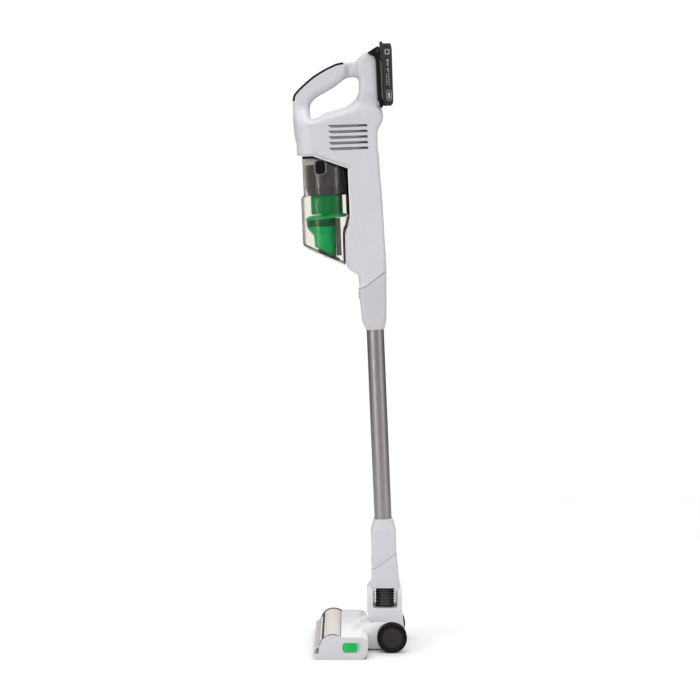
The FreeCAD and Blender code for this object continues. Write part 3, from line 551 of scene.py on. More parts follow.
def housing_solid():
    outer, loop = smooth_outline(OUTER), smooth_outline(LOOP)
    plate = boolean(prism([p[:2] for p in outer], -47.5, 47.5), prism([p[:2] for p in loop], -60, 60))
    bmesh.ops.triangulate(plate, faces=plate.faces)
    plate = remeshed(plate, 1.5)
    co = np.array([v.co for v in plate.verts])
    away = edge_distances(co[:, 1:], (outer, loop))
    half = housing_half_width(co[:, 1], co[:, 2])
    limit = half.copy()
    for kind, radius in EDGE_RADIUS.items():
        r = np.minimum(radius, half * 0.8)
        d = np.minimum(away[kind], r)
        limit = np.minimum(limit, half - r + np.sqrt(np.maximum(r * r - (r - d) ** 2, 0)))
    slope = np.clip(away[CHAMFER] / CHAMFER_WIDTH, 0, 1)
    limit = np.minimum(limit, half - CHAMFER_DEPTH * (1 - slope))
    co[:, 0] = np.clip(co[:, 0], -limit, limit)
    for vert, x in zip(plate.verts, co[:, 0]):
        vert.co.x = x
    return remeshed(plate, 1.15, 2)


def vent_cutter(top, side):
    """A louvre: deep along its upper edge and shallow along its lower one, pointed at the front."""
    high = 4.7
    low_line = [(-69.0, top - 0.9), (-64.5, top - high), (-4.0, top - high + 0.6), (-2.6, top - high),
                (0.8, top - high + 0.3)]
    top_line = [(-71.8, top + 0.5), (-64.5, top + 0.6), (-4.0, top + 0.3), (-2.6, top + 0.3), (0.8, top)]
    depths = (1.0, 2.0, 2.2, 4.5, 4.5)
    mesh = bmesh.new()
    rows = []
    for (y0, z0), (y1, z1), depth in zip(top_line, low_line, depths):
        w0 = float(housing_half_width(np.array(y0), np.array(z0)))
        w1 = float(housing_half_width(np.array(y1), np.array(z1)))
        row = [(w0 + 3, y0, z0), (w0 - 7, y0, z0), (w1 - depth, y1, z1), (w1 + 3, y1, z1)]
        rows.append([mesh.verts.new((side * x, y, z)) for x, y, z in row])
    for low, up in zip(rows, rows[1:]):
        for k in range(4):
            mesh.faces.new((low[k], low[(k + 1) % 4], up[(k + 1) % 4], up[k]))
    mesh.faces.new(rows[0])
    mesh.faces.new(rows[-1][::-1])
    return mesh


GRIP = [(-134.1, 1014.6), (-131.6, 1024.6), (-126.0, 1031.6), (-119.9, 1037.4), (-107.4, 1048.0),
        (-93.2, 1058.5), (-74.6, 1068.9), (-62.0, 1074.6), (-50.7, 1078.9), (-38.4, 1080.7)]


def walked(line):
    """Each point of an open side line, with the line's direction there."""
    for i, point in enumerate(line):
        before, after = line[max(i - 1, 0)], line[min(i + 1, len(line) - 1)]
        yield point, Vector((after[0] - before[0], after[1] - before[1])).normalized()


def offset_line(points, distance):
    """An open line moved outwards, to the left of its direction, by a distance."""
    line = smooth_line(points, 6, closed=False)
    return [(point[0] - along.y * distance, point[1] + along.x * distance) for point, along in walked(line)]


VENT_TOPS = (966.2, 956.0, 945.8, 935.6, 925.4)


def housing():
    whole = housing_solid()
    cutters = joined(*[vent_cutter(top, side) for top in VENT_TOPS for side in (1, -1)])
    seat = offset_line(GRIP, 3.0) + offset_line(GRIP, -4.4)[::-1]
    whole = boolean(whole, cutters, prism(seat, -60, 60))
    data = bpy.data.meshes.new("whole")
    whole.to_mesh(data)
    whole.free()
    for side, name in ((1, "left"), (-1, "right")):
        half = bmesh.new()
        half.from_mesh(data)
        keep_above(half, (side * 0.12, 0, 0), (side, 0, 0))
        finish(f"housing_{name}_shell", half, "handheld", [f"housing_{name}"], sharp=0.75)


def painted_vent_shades():
    """A grey strip of painted shade at the back of each louvre."""
    for top in VENT_TOPS:
        for side in (1, -1):
            rows = []
            for y, z in ((-68.0, top - 0.2), (-1.0, top - 0.4)):
                w = float(housing_half_width(np.array(y), np.array(z)))
                rows += [(side * (w - 6.6), y, z), (side * (w - 1.7), y, z - 3.9)]
            strip = bmesh.new()
            verts = [strip.verts.new(rows[k]) for k in (0, 1, 3, 2)]
            face = strip.faces.new(verts)
            bmesh.ops.solidify(strip, geom=[face], thickness=0.4)
            label = f"vent_shade_strip_{'left' if side > 0 else 'right'}_{int(top)}"
            finish(label, strip, "handheld", material=PAINTED_SHADE_GREY)


def ribbon_solid(points, half, depth, crown):
    """A crowned band along a side line: its upper face bulges a little across."""
    line = smooth_line(points, 6, closed=False)
    steps = 12
    rings = []
    for i, (point, along) in enumerate(walked(line)):
        taper = min(1.0, 0.6 + min(i, len(line) - 1 - i) / 4)
        ring = []
        for sink, order in ((0.0, range(steps + 1)), (depth * taper, range(steps, -1, -1))):
            for k in order:
                s = -1 + 2 * k / steps
                lift = -sink - crown * s ** 4
                across = s * half * (0.9 + 0.1 * taper)
                ring.append((across, point[0] - along.y * lift, point[1] + along.x * lift))
        rings.append(ring)
    return loft(rings)


def grip():
    strip = ribbon_solid(GRIP, 12.6, 4.3, 0.3)
    finish("handle_grip_strip", strip, "handheld", ["handle_grip"])


def handle_buttons():
    slope = math.atan2(10.3, 18.6)
    for node in ("power_button", "speed_button"):
        top = LEANED.inverted() @ middle(node)
        cap = lathe([(0.01, 0.0), (5.8, 0.0), (5.8, 4.2), (5.5, 4.75), (4.6, 5.0), (3.0, 4.75), (0.01, 4.6)],
                    64, closed=False)
        turn = Matrix.Rotation(slope, 4, "X")
        moved(cap, Matrix.Translation(top) @ turn @ Matrix.Translation((0, 0, -3.7)))
        finish(f"{node}_cap", cap, node, [node], material=MATERIALS["grip_rubber"])


# ---- wand and neck

SEAM_REACH = 60.0


def seam_block(points, up):
    """A wide block from a seam line to SEAM_REACH above or below its first point, to cut a sleeve with."""
    far = points[0][1] + (SEAM_REACH if up else -SEAM_REACH)
    outline = list(points) + [(points[-1][0], far), (points[0][0], far)]
    return prism(outline, -60, 60)


BUTTON_HOLE = (-7.4, 7.4)
UPPER_SEAM = [(-60, 666.0), (-24.9, 666.2), (-16.5, 667.9), (-7.9, 673.3), (7.0, 684.0), (60, 722.6)]
LOWER_SEAM = [(-60, 143.2), (-24.5, 143.4), (-17.4, 144.7), (22.0, 171.4), (60, 197.1)]


def wand():
    upper = sleeve([(588.9, -16.9, 16.9, 17.2, 15.5), (590.2, -17.6, 17.4, 18.0, 15.5),
                    (597.0, -20.6, 19.2, 20.4, 13.5), (605.2, -23.6, 21.0, 22.4, 9.0),
                    (607.6, -24.1, 21.4, 22.7, 8.0), (633.2, -25.2, 22.4, 23.3, 8.0),
                    (666.0, -27.6, 23.8, 23.9, 8.0), (700.0, -28.6, 24.9, 24.2, 8.0),
                    (730.0, -29.0, 25.4, 24.4, 8.0)])
    upper = boolean(upper, seam_block(UPPER_SEAM, True), block(BUTTON_HOLE, (-32, -22), (645.6, 660.4)))
    bevel_sharp(upper, 0.5, 2, 0.5)
    spigot = lathe([(13.5, 664.0), (15.5, 664.0), (15.5, 711.0), (15.1, 712.0), (13.5, 712.0)])
    # painted shade: the upper connector takes the darker copy of the white plastic
    finish("upper_connector_shell", joined(upper, spigot), "wand", ["wand_upper_connector"],
           material=SHADED_WHITE)
    lower = sleeve([(110.0, -27.0, 25.6, 24.2, 8.0), (143.0, -24.7, 24.0, 24.0, 8.0),
                    (171.0, -24.4, 22.2, 23.6, 8.0), (212.0, -23.9, 22.8, 22.6, 8.0),
                    (214.8, -23.4, 22.4, 22.3, 9.0), (224.0, -20.6, 20.3, 20.4, 13.0),
                    (233.4, -17.9, 17.9, 18.0, 15.5), (235.0, -17.1, 17.1, 17.2, 15.5)])
    lower = boolean(lower, seam_block([(y, z + 0.35) for y, z in LOWER_SEAM], False),
                    block(BUTTON_HOLE, (-32, -21), (151.6, 164.4)))
    bevel_sharp(lower, 0.5, 2, 0.5)
    pipe = lathe([(13.5, 128.0), (15.1, 128.0), (15.5, 129.0), (15.5, 180.0), (13.5, 180.0)])
    # painted shade: the lower connector takes the darker copy of the white plastic
    finish("lower_connector_shell", joined(lower, pipe), "wand", ["wand_lower_connector"],
           material=SHADED_WHITE)
    tube = lathe([(14.8, 208.0), (16.0, 208.0), (16.0, 608.0), (14.8, 608.0)], 128)
    for z in (233.6, 588.2):
        tube = joined(tube, lathe([(15.9, z), (16.6, z), (16.6, z + 2.2), (15.9, z + 2.2)], 128))
    finish("wand_tube_skin", tube, "wand", ["wand_tube"])


LEG_FRONT, LEG_BACK = (43.2, 47.0), (84.0, 87.8)


def neck():
    sections = [(96.0, -28.4, 25.9, 24.4, 8.0), (104.0, -27.9, 25.6, 24.4, 8.0),
                (118.5, -26.9, 25.1, 24.4, 8.0), (143.0, -24.8, 24.0, 24.1, 8.0),
                (171.0, -24.4, 22.3, 23.7, 8.0), (190.0, -24.2, 22.4, 23.2, 8.0)]
    body = moved(sleeve(sections), UPRIGHT.inverted() @ LEANED)
    seam = moved(seam_block([(y, z - 0.35) for y, z in LOWER_SEAM], True), UPRIGHT.inverted() @ LEANED)
    arch = moved(lathe([(0.01, -60), (26.6, -60), (26.6, 60), (0.01, 60)], 96, closed=False),
                 Matrix.Translation(SWIVEL) @ Matrix.Rotation(math.pi / 2, 4, "X"))
    centre = middle("hose") / MM
    socket = moved(lathe([(0.01, -10), (18.6, -10), (18.6, 27), (0.01, 27)], 64, closed=False),
                   Matrix.Translation((0, centre.y, SWIVEL.z + 10)))
    front, back = LEG_FRONT[1], LEG_BACK[0]
    window = block((-30, 30), (front, back), (SWIVEL.z - 10, SWIVEL.z + 16.6))
    body = boolean(body, seam, arch, socket, window)
    bevel_sharp(body, 0.6, 2, 0.5)
    legs = []
    for low, high in (LEG_FRONT, LEG_BACK):
        line = arc((0, SWIVEL.z), 17.7, 180, 360, 32) + [(17.7, SWIVEL.z + 30), (-17.7, SWIVEL.z + 30)]
        leg = prism(line, low, high, 0.9)
        legs.append(moved(leg, Matrix(((0, 1, 0, 0), (1, 0, 0, 0), (0, 0, 1, 0), (0, 0, 0, 1)))))
    # painted shade: the neck takes the darker copy of the white plastic
    finish("neck_shell", joined(body, *legs), "neck", ["neck"], UPRIGHT, SHADED_WHITE)


def hose():
    low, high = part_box("hose")
    bottom, top = low.z / MM + 0.2, high.z / MM - 0.4
    ribs = 11
    pitch = (top - bottom) / ribs
    profile = [(15.6, bottom)]
    for i in range(ribs):
        for k in range(8):
            t = k / 8
            bulge = 0.5 - 0.5 * math.cos(2 * math.pi * t)
            profile.append((16.1 + 1.8 * bulge ** 0.7, bottom + (i + t) * pitch))
    profile += [(15.6, top), (15.2, top), (15.2, bottom)]
    centre = ((low.x + high.x) / 2 / MM, (low.y + high.y) / 2 / MM, 0)
    skin = moved(lathe(profile, 72), Matrix.Translation(centre))
    piece = finish("hose_skin", skin, None, ["hose"], UPRIGHT)
    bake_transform(piece)


def yoke():
    body = refined("yoke", 1.6, 3)
    finish("yoke_shell", body, "yoke", ["yoke"], UPRIGHT)


def wand_buttons():
    for node in ("wand_button", "neck_button"):
        low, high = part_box(node)
        c = LEANED.inverted() @ middle(node)
        wide = (high.x - low.x) / MM
        deep = (high.y - low.y) / MM - 0.5
        tall = (high.z - low.z) / MM - 0.2
        pad = block((-wide / 2, wide / 2), (c.y - deep / 2, c.y + deep / 2),
                    (c.z - tall / 2, c.z + tall / 2), 1.0, 4)
        ribs = [block((-wide / 2 + 2, wide / 2 - 2), (c.y - deep / 2 - 0.3, c.y - deep / 2 + 0.4),
                      (c.z - 4 + 3 * k - 0.4, c.z - 4 + 3 * k + 0.4), 0.15, 2) for k in range(3)]
        finish(f"{node}_cap", joined(pad, *ribs), node, [node])


# ---- dust bin

BIN_TOP = [(-130, 912.6), (-101, 912.6), (-37, 887.2)]
BIN_BOTTOM = [(-130, 757.5), (-122, 750.0), (-107, 741.4), (-58, 717.6), (-44, 711.0)]
BIN_BACK = [(700, -49.2), (771, -47.8), (779, -44.4), (790, -39.4), (798, -37.7), (806, -37.2), (920, -37.6)]
BIN_FRONT = [(700, 44.8), (742, 44.6), (756, 44.8), (836, 44.6), (841, 42.0), (920, 41.8)]


BIN_STEPS = 96


def bin_ring(t, shrink):
    """One ring of the bin between its sloping bottom and top, flattened where the housing's spine is."""
    ring = []
    for i in range(BIN_STEPS):
        turn = 2 * math.pi * i / BIN_STEPS
        x, y = math.cos(turn), math.sin(turn)
        z = 830.0
        for _ in range(3):
            radius = np.interp(z, *zip(*BIN_FRONT)) - shrink
            centre = np.interp(z, (836, 841), (-81.6, -79.2))
            back = np.interp(z, *zip(*BIN_BACK)) - shrink
            py = centre + radius * y
            py = back - softened(back - py)
            low = np.interp(py, *zip(*BIN_BOTTOM))
            high = np.interp(py, *zip(*BIN_TOP))
            z = low + (high - low) * t
        ring.append((radius * x, py, z))
    return ring


def softened(gap):
    """Keeps a gap positive, with a soft corner."""
    softness = 1.75
    return 0.5 * (gap + math.sqrt(gap * gap + softness))


LATCH_Y, LATCH_Z, BIN_SIDE = -88.0, 891.5, 42.5
# the rear rail just inside the bin's back wall: height and depth
BIN_BACK_LINE = [(717, -49.6), (771, -48.6), (779, -45.4), (790, -40.6), (798, -39.2), (804, -38.8),
                 (840, -38.6)]


def dust_bin():
    heights = [0, 0.01, 0.025, 0.05, 0.1, 0.2, 0.3, 0.4, 0.48]
    heights += [0.5 + 0.0075 * k for k in range(33)] + [0.8, 0.9, 0.98, 1.0]
    outer = [bin_ring(t, 0.0) for t in heights]
    inner = [bin_ring(t, 2.3) for t in heights[::-1]]
    shell = loft(outer + inner, cap=False)
    rows = len(outer[0])
    shell.verts.ensure_lookup_table()
    last = len(shell.verts) - rows
    for k in range(rows):
        shell.faces.new((shell.verts[last + k], shell.verts[last + (k + 1) % rows],
                         shell.verts[(k + 1) % rows], shell.verts[k]))
    latches = rounded_box(LATCH_Y, LATCH_Z, 17.8, 24.8, 6.2)
    shell = boolean(shell, prism(latches, 30, 50), prism(latches, -50, -30))
    finish("dust_bin_shell", shell, "dust_bin", ["dust_bin"], sharp=0.9)
    frame_line = [bin_ring(t, -0.25) for t in (0.972, 1.0)] + [bin_ring(t, 2.6) for t in (1.0, 0.972)]
    rim = loft(frame_line + frame_line[:1], cap=False)
    finish("dust_bin_rim", rim, "dust_bin", material=MATERIALS["black_plastic"])
    high = [(y - 0.4, z) for z, y in BIN_BACK_LINE if z > 800] + [(-38.0, 885.0)]
    low = [(y - 0.4, z) for z, y in BIN_BACK_LINE if z < 800]
    for name, line, deep, half in (("upper", high, 4.6, 9.0), ("lower", low, 2.6, 12.0)):
        rail = prism(line + [(y - deep, z) for y, z in line[::-1]], -half, half, 0.3, 2)
        finish(f"dust_bin_{name}_rail", rail, "dust_bin", material=MATERIALS["black_plastic"])
    # a grey wall of painted shade behind the cone, darkening the bin's back seen through the shell
    wall = block((-21.0, -15.0), (-65.0, -56.0), (727.5, 797.0), 0.8)
    finish("dust_bin_inner_shade_wall", wall, "dust_bin", material=PAINTED_SHADE_GREY)


def bin_door():
    def ring(shrink, drop):
        return [(x, y, z - drop) for x, y, z in bin_ring(0.0, shrink)]
    rings = [ring(1.2, 0.4), ring(0.5, 0.8), ring(0.4, 1.8), ring(0.9, 2.8), ring(2.4, 3.3)]
    plate = loft(rings)
    finish("bin_door_plate", plate, "bin_door", ["bin_door"])
    lip = [ring(2.4, -0.8), ring(2.4, 0.4), ring(4.4, 0.4), ring(4.4, -0.8), ring(2.4, -0.8)]
    gasket = loft(lip, cap=False)
    slope = [(y, float(np.interp(y, *zip(*BIN_BOTTOM)))) for y in (-99.0, -80.0, -60.0)]
    seat_line = [(y, z + 0.3) for y, z in slope] + [(y, z + 4.6) for y, z in slope[::-1]]
    seat = prism(seat_line, -21.0, 21.0, 0.6, 3)
    finish("bin_door_gasket", joined(gasket, seat), "bin_door", material=MATERIALS["dark_plastic"])


CUP_BACK = -78.5


def fitted_cup(mesh):
    """A cup piece moved into the bin, clipped under the housing, with room for the latches."""
    moved(mesh, Matrix.Translation((0, CUP_BACK, 0)))
    keep_above(mesh, (0, -101.0, 912.2), (0, -0.3718, -0.9283))
    keep_above(mesh, (0, 0, 912.2), (0, 0, -1))
    pockets = [block((side * 36.2, side * 48.0), (-99.2, -76.8), (876.4, 906.6)) for side in (1, -1)]
    return boolean(mesh, joined(*pockets))


def filter_cup():
    cup = lathe([(0.01, 839.4), (20, 839.4), (33.6, 839.4), (35.2, 840.4), (35.8, 842.5), (37.6, 852.9),
                 (37.3, 853.3), (37.3, 854.4), (38.0, 854.8), (38.3, 896.0), (0.01, 896.0)],
                128, closed=False)
    finish("filter_cup_body", fitted_cup(cup), "dust_bin", ["filter_cup"])
    band = lathe([(30.0, 896.1), (38.0, 896.1), (38.0, 909.0), (37.2, 909.8), (30.0, 909.8)], 128)
    finish("filter_cup_band", fitted_cup(band), "dust_bin", material=SILVER)


def cyclone_screen():
    """A square mesh of wires round a core."""
    skin = bmesh.new()
    columns, rows, radius = 90, 16, 29.4
    grid = [[skin.verts.new((radius * math.cos(2 * math.pi * c / columns),
                             radius * math.sin(2 * math.pi * c / columns), 806.0 + 33.0 * r / rows))
             for c in range(columns)] for r in range(rows + 1)]
    for r in range(rows):
        for c in range(columns):
            skin.faces.new((grid[r][c], grid[r][(c + 1) % columns],
                            grid[r + 1][(c + 1) % columns], grid[r + 1][c]))
    bmesh.ops.wireframe(skin, faces=skin.faces, thickness=0.9, use_replace=True, use_even_offset=True)
    core = lathe([(0.01, 805.4), (28.2, 805.4), (28.2, 839.3), (0.01, 839.3)], 96, closed=False)
    mesh = moved(joined(skin, core), Matrix.Translation((0, CUP_BACK - 1.0, 0)))
    finish("cyclone_screen_mesh", mesh, "dust_bin", ["cyclone_screen"])


def oval_rings(sections):
    """Level rings from sections of (height, front, back, half width)."""
    rings = []
    for z, front, back, half in sections:
        deep = back - front
        outline = rounded_box(0, (front + back) / 2, 2 * half, deep, min(half, deep / 2) - 0.4, 12)
        rings.append([(x, y, z) for x, y in outline])
    return rings


def cyclone_cone():
    flange = lathe([(0.01, 799.0), (36.6, 797.2), (38.0, 797.2), (38.2, 798.0), (38.2, 800.4), (37.4, 801.6),
                    (31.5, 804.8), (0.01, 805.2)], 128, closed=False)
    lean = Matrix.Rotation(math.radians(4.2), 4, "X")
    tilt = Matrix.Translation((0, 0, 801)) @ lean @ Matrix.Translation((0, 0, -801))
    moved(flange, Matrix.Translation((0, -81.4, 0)) @ tilt)
    rings = oval_rings(((799.5, -118.0, -64.0, 27.0), (792.0, -117.6, -64.4, 26.6),
                        (783.0, -117.4, -64.8, 26.3), (779.0, -116.0, -64.9, 25.6),
                        (770.0, -108.4, -65.0, 22.4), (766.0, -105.6, -65.0, 20.6),
                        (750.0, -104.6, -65.2, 20.0), (735.0, -104.2, -65.4, 19.8),
                        (725.0, -104.0, -65.6, 19.6)))
    funnel = loft(rings[::-1])
    keep_above(funnel, (0, -107.0, 747.8), (0, 0.473, 0.881))
    finish("cyclone_cone_body", joined(flange, funnel), "dust_bin", ["cyclone_cone"])
    # the collar under the flange is coloured with painted shadow
    skirt = oval_rings(((798.4, -118.4, -63.4, 27.5), (783.6, -117.9, -64.0, 26.8),
                        (782.8, -117.0, -64.6, 26.2)))
    finish("cyclone_cone_shaded_collar", loft(skirt[::-1]), "dust_bin", material=SHADOWED_GREEN)


def bin_latches():
    """Each latch: a dished button inside a rounded frame on the bin's side."""
    def plate(wide, high, radius, inner, outer, side, bevel):
        outline = rounded_box(LATCH_Y, LATCH_Z, wide, high, radius)
        return prism(outline, side * (BIN_SIDE + inner), side * (BIN_SIDE + outer), bevel)
    for side, name in ((1, "left"), (-1, "right")):
        node = f"bin_latch_{name}"
        dish = plate(10.4, 17.4, 3.4, -0.6, 4.0, side, 0.2)
        button = boolean(plate(16.8, 23.8, 5.6, -3.6, 1.1, side, 0.9), dish)
        bar = plate(4.6, 13.6, 1.8, -0.8, 1.0, side, 0.4)
        finish(f"{node}_button", joined(button, bar), node, [node])
        ring = plate(23.6, 28.6, 8.2, -5.4, 1.0, side, 0.5)
        hole = plate(18.0, 25.0, 6.2, -8.0, 3.0, side, 0.0)
        finish(f"{node}_pocket", boolean(ring, hole), "dust_bin", material=LATCH_FRAME)


# ---- battery pack

PACK_HALF = 37


def battery():
    front_line = [(28.9, 1084.2), (28.8, 1104.0), (30.6, 1109.2), (33.0, 1109.9), (39.85, 1109.9),
                  (39.85, 999.3), (34.6, 999.3), (33.6, 1000.4), (33.4, 1078.2)]
    front = prism(front_line, -PACK_HALF, PACK_HALF, 1.0, 3)
    back_line = [(40.15, 1109.9), (47.4, 1109.9), (49.4, 1107.6), (50.7, 1099.0), (49.8, 1008.0),
                 (49.2, 1001.6), (47.2, 999.4), (40.15, 999.3)]
    back = prism(back_line, -PACK_HALF, PACK_HALF, 1.4, 4)
    core = block((-34.8, 34.8), (29.0, 39.8), (1016.5, 1084.0), 1.0)
    finish("battery_front_shell", joined(front, core), "battery", ["battery_front_case"])
    finish("battery_back_shell", back, "battery", ["battery_back_case"])
    latch = block((-9.8, 9.8), (29.2, 34.8), (1104.0, 1114.9), 1.2, 4)
    ridges = [block((-7.0, 7.0), (29.6 + 1.6 * k, 30.3 + 1.6 * k), (1114.6, 1115.4), 0.25, 2)
              for k in range(3)]
    finish("battery_latch_key", joined(latch, *ridges), "battery_latch", ["battery_latch"])


def battery_marks():
    """Plain shapes on both sides of the pack: an open square, blocks, dashes and a framed bar."""
    marks = []
    side_face = 37.02
    for a, b in ((side_face - 0.2, side_face + 0.12), (-side_face - 0.12, -side_face + 0.2)):
        plate = prism(rounded_box(42.0, 1094.5, 9.0, 9.6, 2.0), a, b)
        gap = prism(rounded_box(42.0, 1094.5, 5.6, 6.2, 1.0), a - 1, b + 1)
        marks.append(boolean(plate, gap))
        for k, (wide, tall) in enumerate(((3.0, 5.0), (2.0, 6.0), (2.6, 4.0))):
            low = 1076.0 - 7.5 * k
            marks.append(block((a, b), (42.0 - wide / 2, 42.0 + wide / 2), (low, low + tall)))
        for y, low, high in ((39.6, 1036.0, 1056.0), (43.4, 1034.0, 1062.0)):
            dashes = 6
            step = (high - low) / dashes
            for k in range(dashes):
                marks.append(block((a, b), (y - 0.7, y + 0.7), (low + k * step, low + (k + 0.6) * step)))
        oval = prism(rounded_box(42.4, 1016.0, 9.6, 19.0, 4.0), a, b)
        hollow = prism(rounded_box(42.4, 1016.0, 8.0, 17.4, 3.4), a - 1, b + 1)
        marks.append(boolean(oval, hollow))
        marks.append(prism(rounded_box(42.4, 1016.0, 4.2, 11.0, 1.6), a, b))
    finish("battery_marks", joined(*marks), "battery", material=LIGHT_MARK)


def dock():
    finish("battery_dock_shell", refined("battery_dock", 0.7), "handheld", ["battery_dock"], UPRIGHT)
    long_rail = [(28.4, 1016.0), (29.8, 1010.0), (32.4, 1007.0), (32.4, 1076.6), (28.4, 1081.0)]
    top_rail = [(20.6, 1093.0), (26.2, 1096.6), (26.2, 1102.4)]
    rails = [prism(line, side * 36.4, side * 37.25, 0.2, 2)
             for side in (1, -1) for line in (long_rail, top_rail)]
    finish("battery_dock_rails", joined(*rails), "handheld", material=RAIL)


# ---- floor head

# lit and shaded copies of the white plastic: painted light on the head cover, painted shade on the end caps
LIT_AND_SHADED_WHITES = {"head_cover": LIT_WHITE, "end_cap_left": SHADED_WHITE, "end_cap_right": SHADED_WHITE}
SADDLE = [(16.0, 38.4), (24.0, 41.6), (33.0, 45.0), (38.6, 46.9), (41.2, 47.0), (42.6, 45.4), (46.4, 38.0),
          (51.4, 28.6), (51.6, 20.0), (34.0, 18.0), (31.4, 30.0), (20.4, 37.2)]


# what the front of each end cap is cut back by
CAP_FRONT = [(-72, 10.6), (-58.0, 10.6), (-57.2, 14.0), (-56.6, 22.0), (-54.4, 29.0), (-50.0, 36.6),
             (-72, 36.6)]


def head():
    saddle = prism(smooth_line(SADDLE, 4), -41.9, 41.9, 0.4, 2)
    # painted light: the saddle takes the brighter copy of the white plastic
    finish("head_cover_saddle", saddle, "floor_head", [], UPRIGHT, LIT_WHITE)
    for node, bevel in (("end_cap_left", 1.6), ("end_cap_right", 1.6), ("head_cover", 1.0),
                        ("head_chassis", 0.5), ("sole_plate", 0.5)):
        shell = refined(node, bevel, 3)
        if node.startswith("end_cap"):
            shell = boolean(shell, prism(CAP_FRONT, -125, 125))
        # the head cover gets painted light, the end caps painted shade
        finish(f"{node}_shell", shell, "floor_head", [node], UPRIGHT, LIT_AND_SHADED_WHITES.get(node))


def brush_slider():
    slider = prism(rounded_box(0.5, 21.5, 26.8, 16.8, 5.4), 115.3, 116.9, 0.5, 3)
    ribs = [prism(rounded_box(y, 21.5, 1.5, 12.0, 0.7), 116.2, 117.8, 0.3, 2)
            for y in (-1.0, 2.5, 6.0, 9.5)]
    finish("brush_slider_key", joined(slider, *ribs), "brush_slider", ["brush_slider"], UPRIGHT)


def brush_window():
    """The clear pane, its black strip and its black edging, all arcs about the brush."""
    centre = (BRUSH.y, BRUSH.z)
    window = prism(arc(centre, 24.0, 50.4, 165.6, 48) + arc(centre, 22.2, 165.6, 50.4, 48),
                   -WINDOW_HALF, WINDOW_HALF, 0.2, 1)
    finish("brush_window_pane", window, "floor_head", ["brush_window"], UPRIGHT)
    strip = prism(arc(centre, 24.8, 133.0, 147.0, 8) + arc(centre, 23.9, 147.0, 133.0, 8),
                  -WINDOW_HALF, WINDOW_HALF, 0.2, 1)
    finish("window_strip_band", strip, "floor_head", ["window_strip"], UPRIGHT)
    edges = []
    for x in (WINDOW_HALF - 3.4, -WINDOW_HALF + 0.1):
        edges.append(prism(arc(centre, 25.0, 50, 198, 60) + arc(centre, 23.5, 198, 50, 60), x, x + 3.3))
    for inner, first, last, steps in ((23.4, 49.6, 52.0, 3), (23.9, 53.6, 54.8, 2)):
        line = arc(centre, 24.4, first, last, steps) + arc(centre, inner, last, first, steps)
        edges.append(prism(line, -WINDOW_HALF, WINDOW_HALF))
    finish("window_edging", joined(*edges), "floor_head", [], UPRIGHT, MATERIALS["black_plastic"])


def front_skirt():
    """The stepped, ribbed front lip under the window."""
    line = [(-54.6, 25.4), (-58.6, 23.4), (-59.0, 22.2), (-63.6, 19.8), (-64.9, 18.4), (-65.3, 15.0),
            (-65.9, 11.0), (-65.3, 4.2), (-63.7, 4.2), (-64.2, 10.8), (-63.5, 17.6), (-58.0, 20.6),
            (-54.2, 23.4)]
    parts = [prism(line, -WINDOW_HALF, WINDOW_HALF, 0.15, 1)]
    rib = [(-58.4, 23.7), (-64.9, 19.6), (-66.1, 11.0), (-65.6, 5.0), (-65.2, 5.0), (-65.6, 11.0),
           (-64.4, 19.0), (-58.2, 22.9)]
    count = 15
    for i in range(count):
        x = -WINDOW_HALF + 8 + i * (2 * WINDOW_HALF - 16) / (count - 1)
        parts.append(prism(rib, x - 0.8, x + 0.8))
    finish("front_skirt_lip", joined(*parts), "floor_head", ["front_skirt"], UPRIGHT)


BRUSH_LOW, BRUSH_LONG = -93.0, 193.0
TUFT_FOOT = 10.6


def brush():
    """The roll and its rows of bristles, which wind part of a turn along it."""
    random.seed(7)
    core = refined("brush_core", 0.4)
    finish("brush_core_roll", core, "brush", ["brush_core"], UPRIGHT)
    tufts = bmesh.new()
    rows, per_row = 6, 64
    for row in range(rows):
        for i in range(per_row):
            x = BRUSH_LOW + BRUSH_LONG * i / (per_row - 1)
            angle = 2 * math.pi * row / rows + (x / BRUSH_LONG) * math.pi * 0.9
            for _ in range(3):
                spread = angle + random.uniform(-0.05, 0.05)
                tip = random.uniform(18.6, 19.4)
                px = x + random.uniform(-0.6, 0.6)
                direction = Vector((0, math.cos(spread), math.sin(spread)))
                side = Vector((1, 0, 0))
                a = Vector((px, BRUSH.y, BRUSH.z)) + direction * TUFT_FOOT
                b = Vector((px, BRUSH.y, BRUSH.z)) + direction * tip
                cross = direction.cross(side)
                corner = [side * 0.55, cross * 0.55, side * -0.55, cross * -0.55]
                low = [tufts.verts.new(a + c) for c in corner]
                high = [tufts.verts.new(b + c * 1.4) for c in corner]
                for k in range(4):
                    tufts.faces.new((low[k], low[(k + 1) % 4], high[(k + 1) % 4], high[k]))
                tufts.faces.new(high)
                tufts.faces.new(low[::-1])
    finish("brush_tufts", tufts, "brush", ["brush_bristles"], UPRIGHT)


def axle_place(side):
    """Turns a lathed piece onto the wheels' axle, its height pointing out to one side."""
    return Matrix.Translation((0, AXLE.y, AXLE.z)) @ Matrix.Rotation(side * math.pi / 2, 4, "Y")


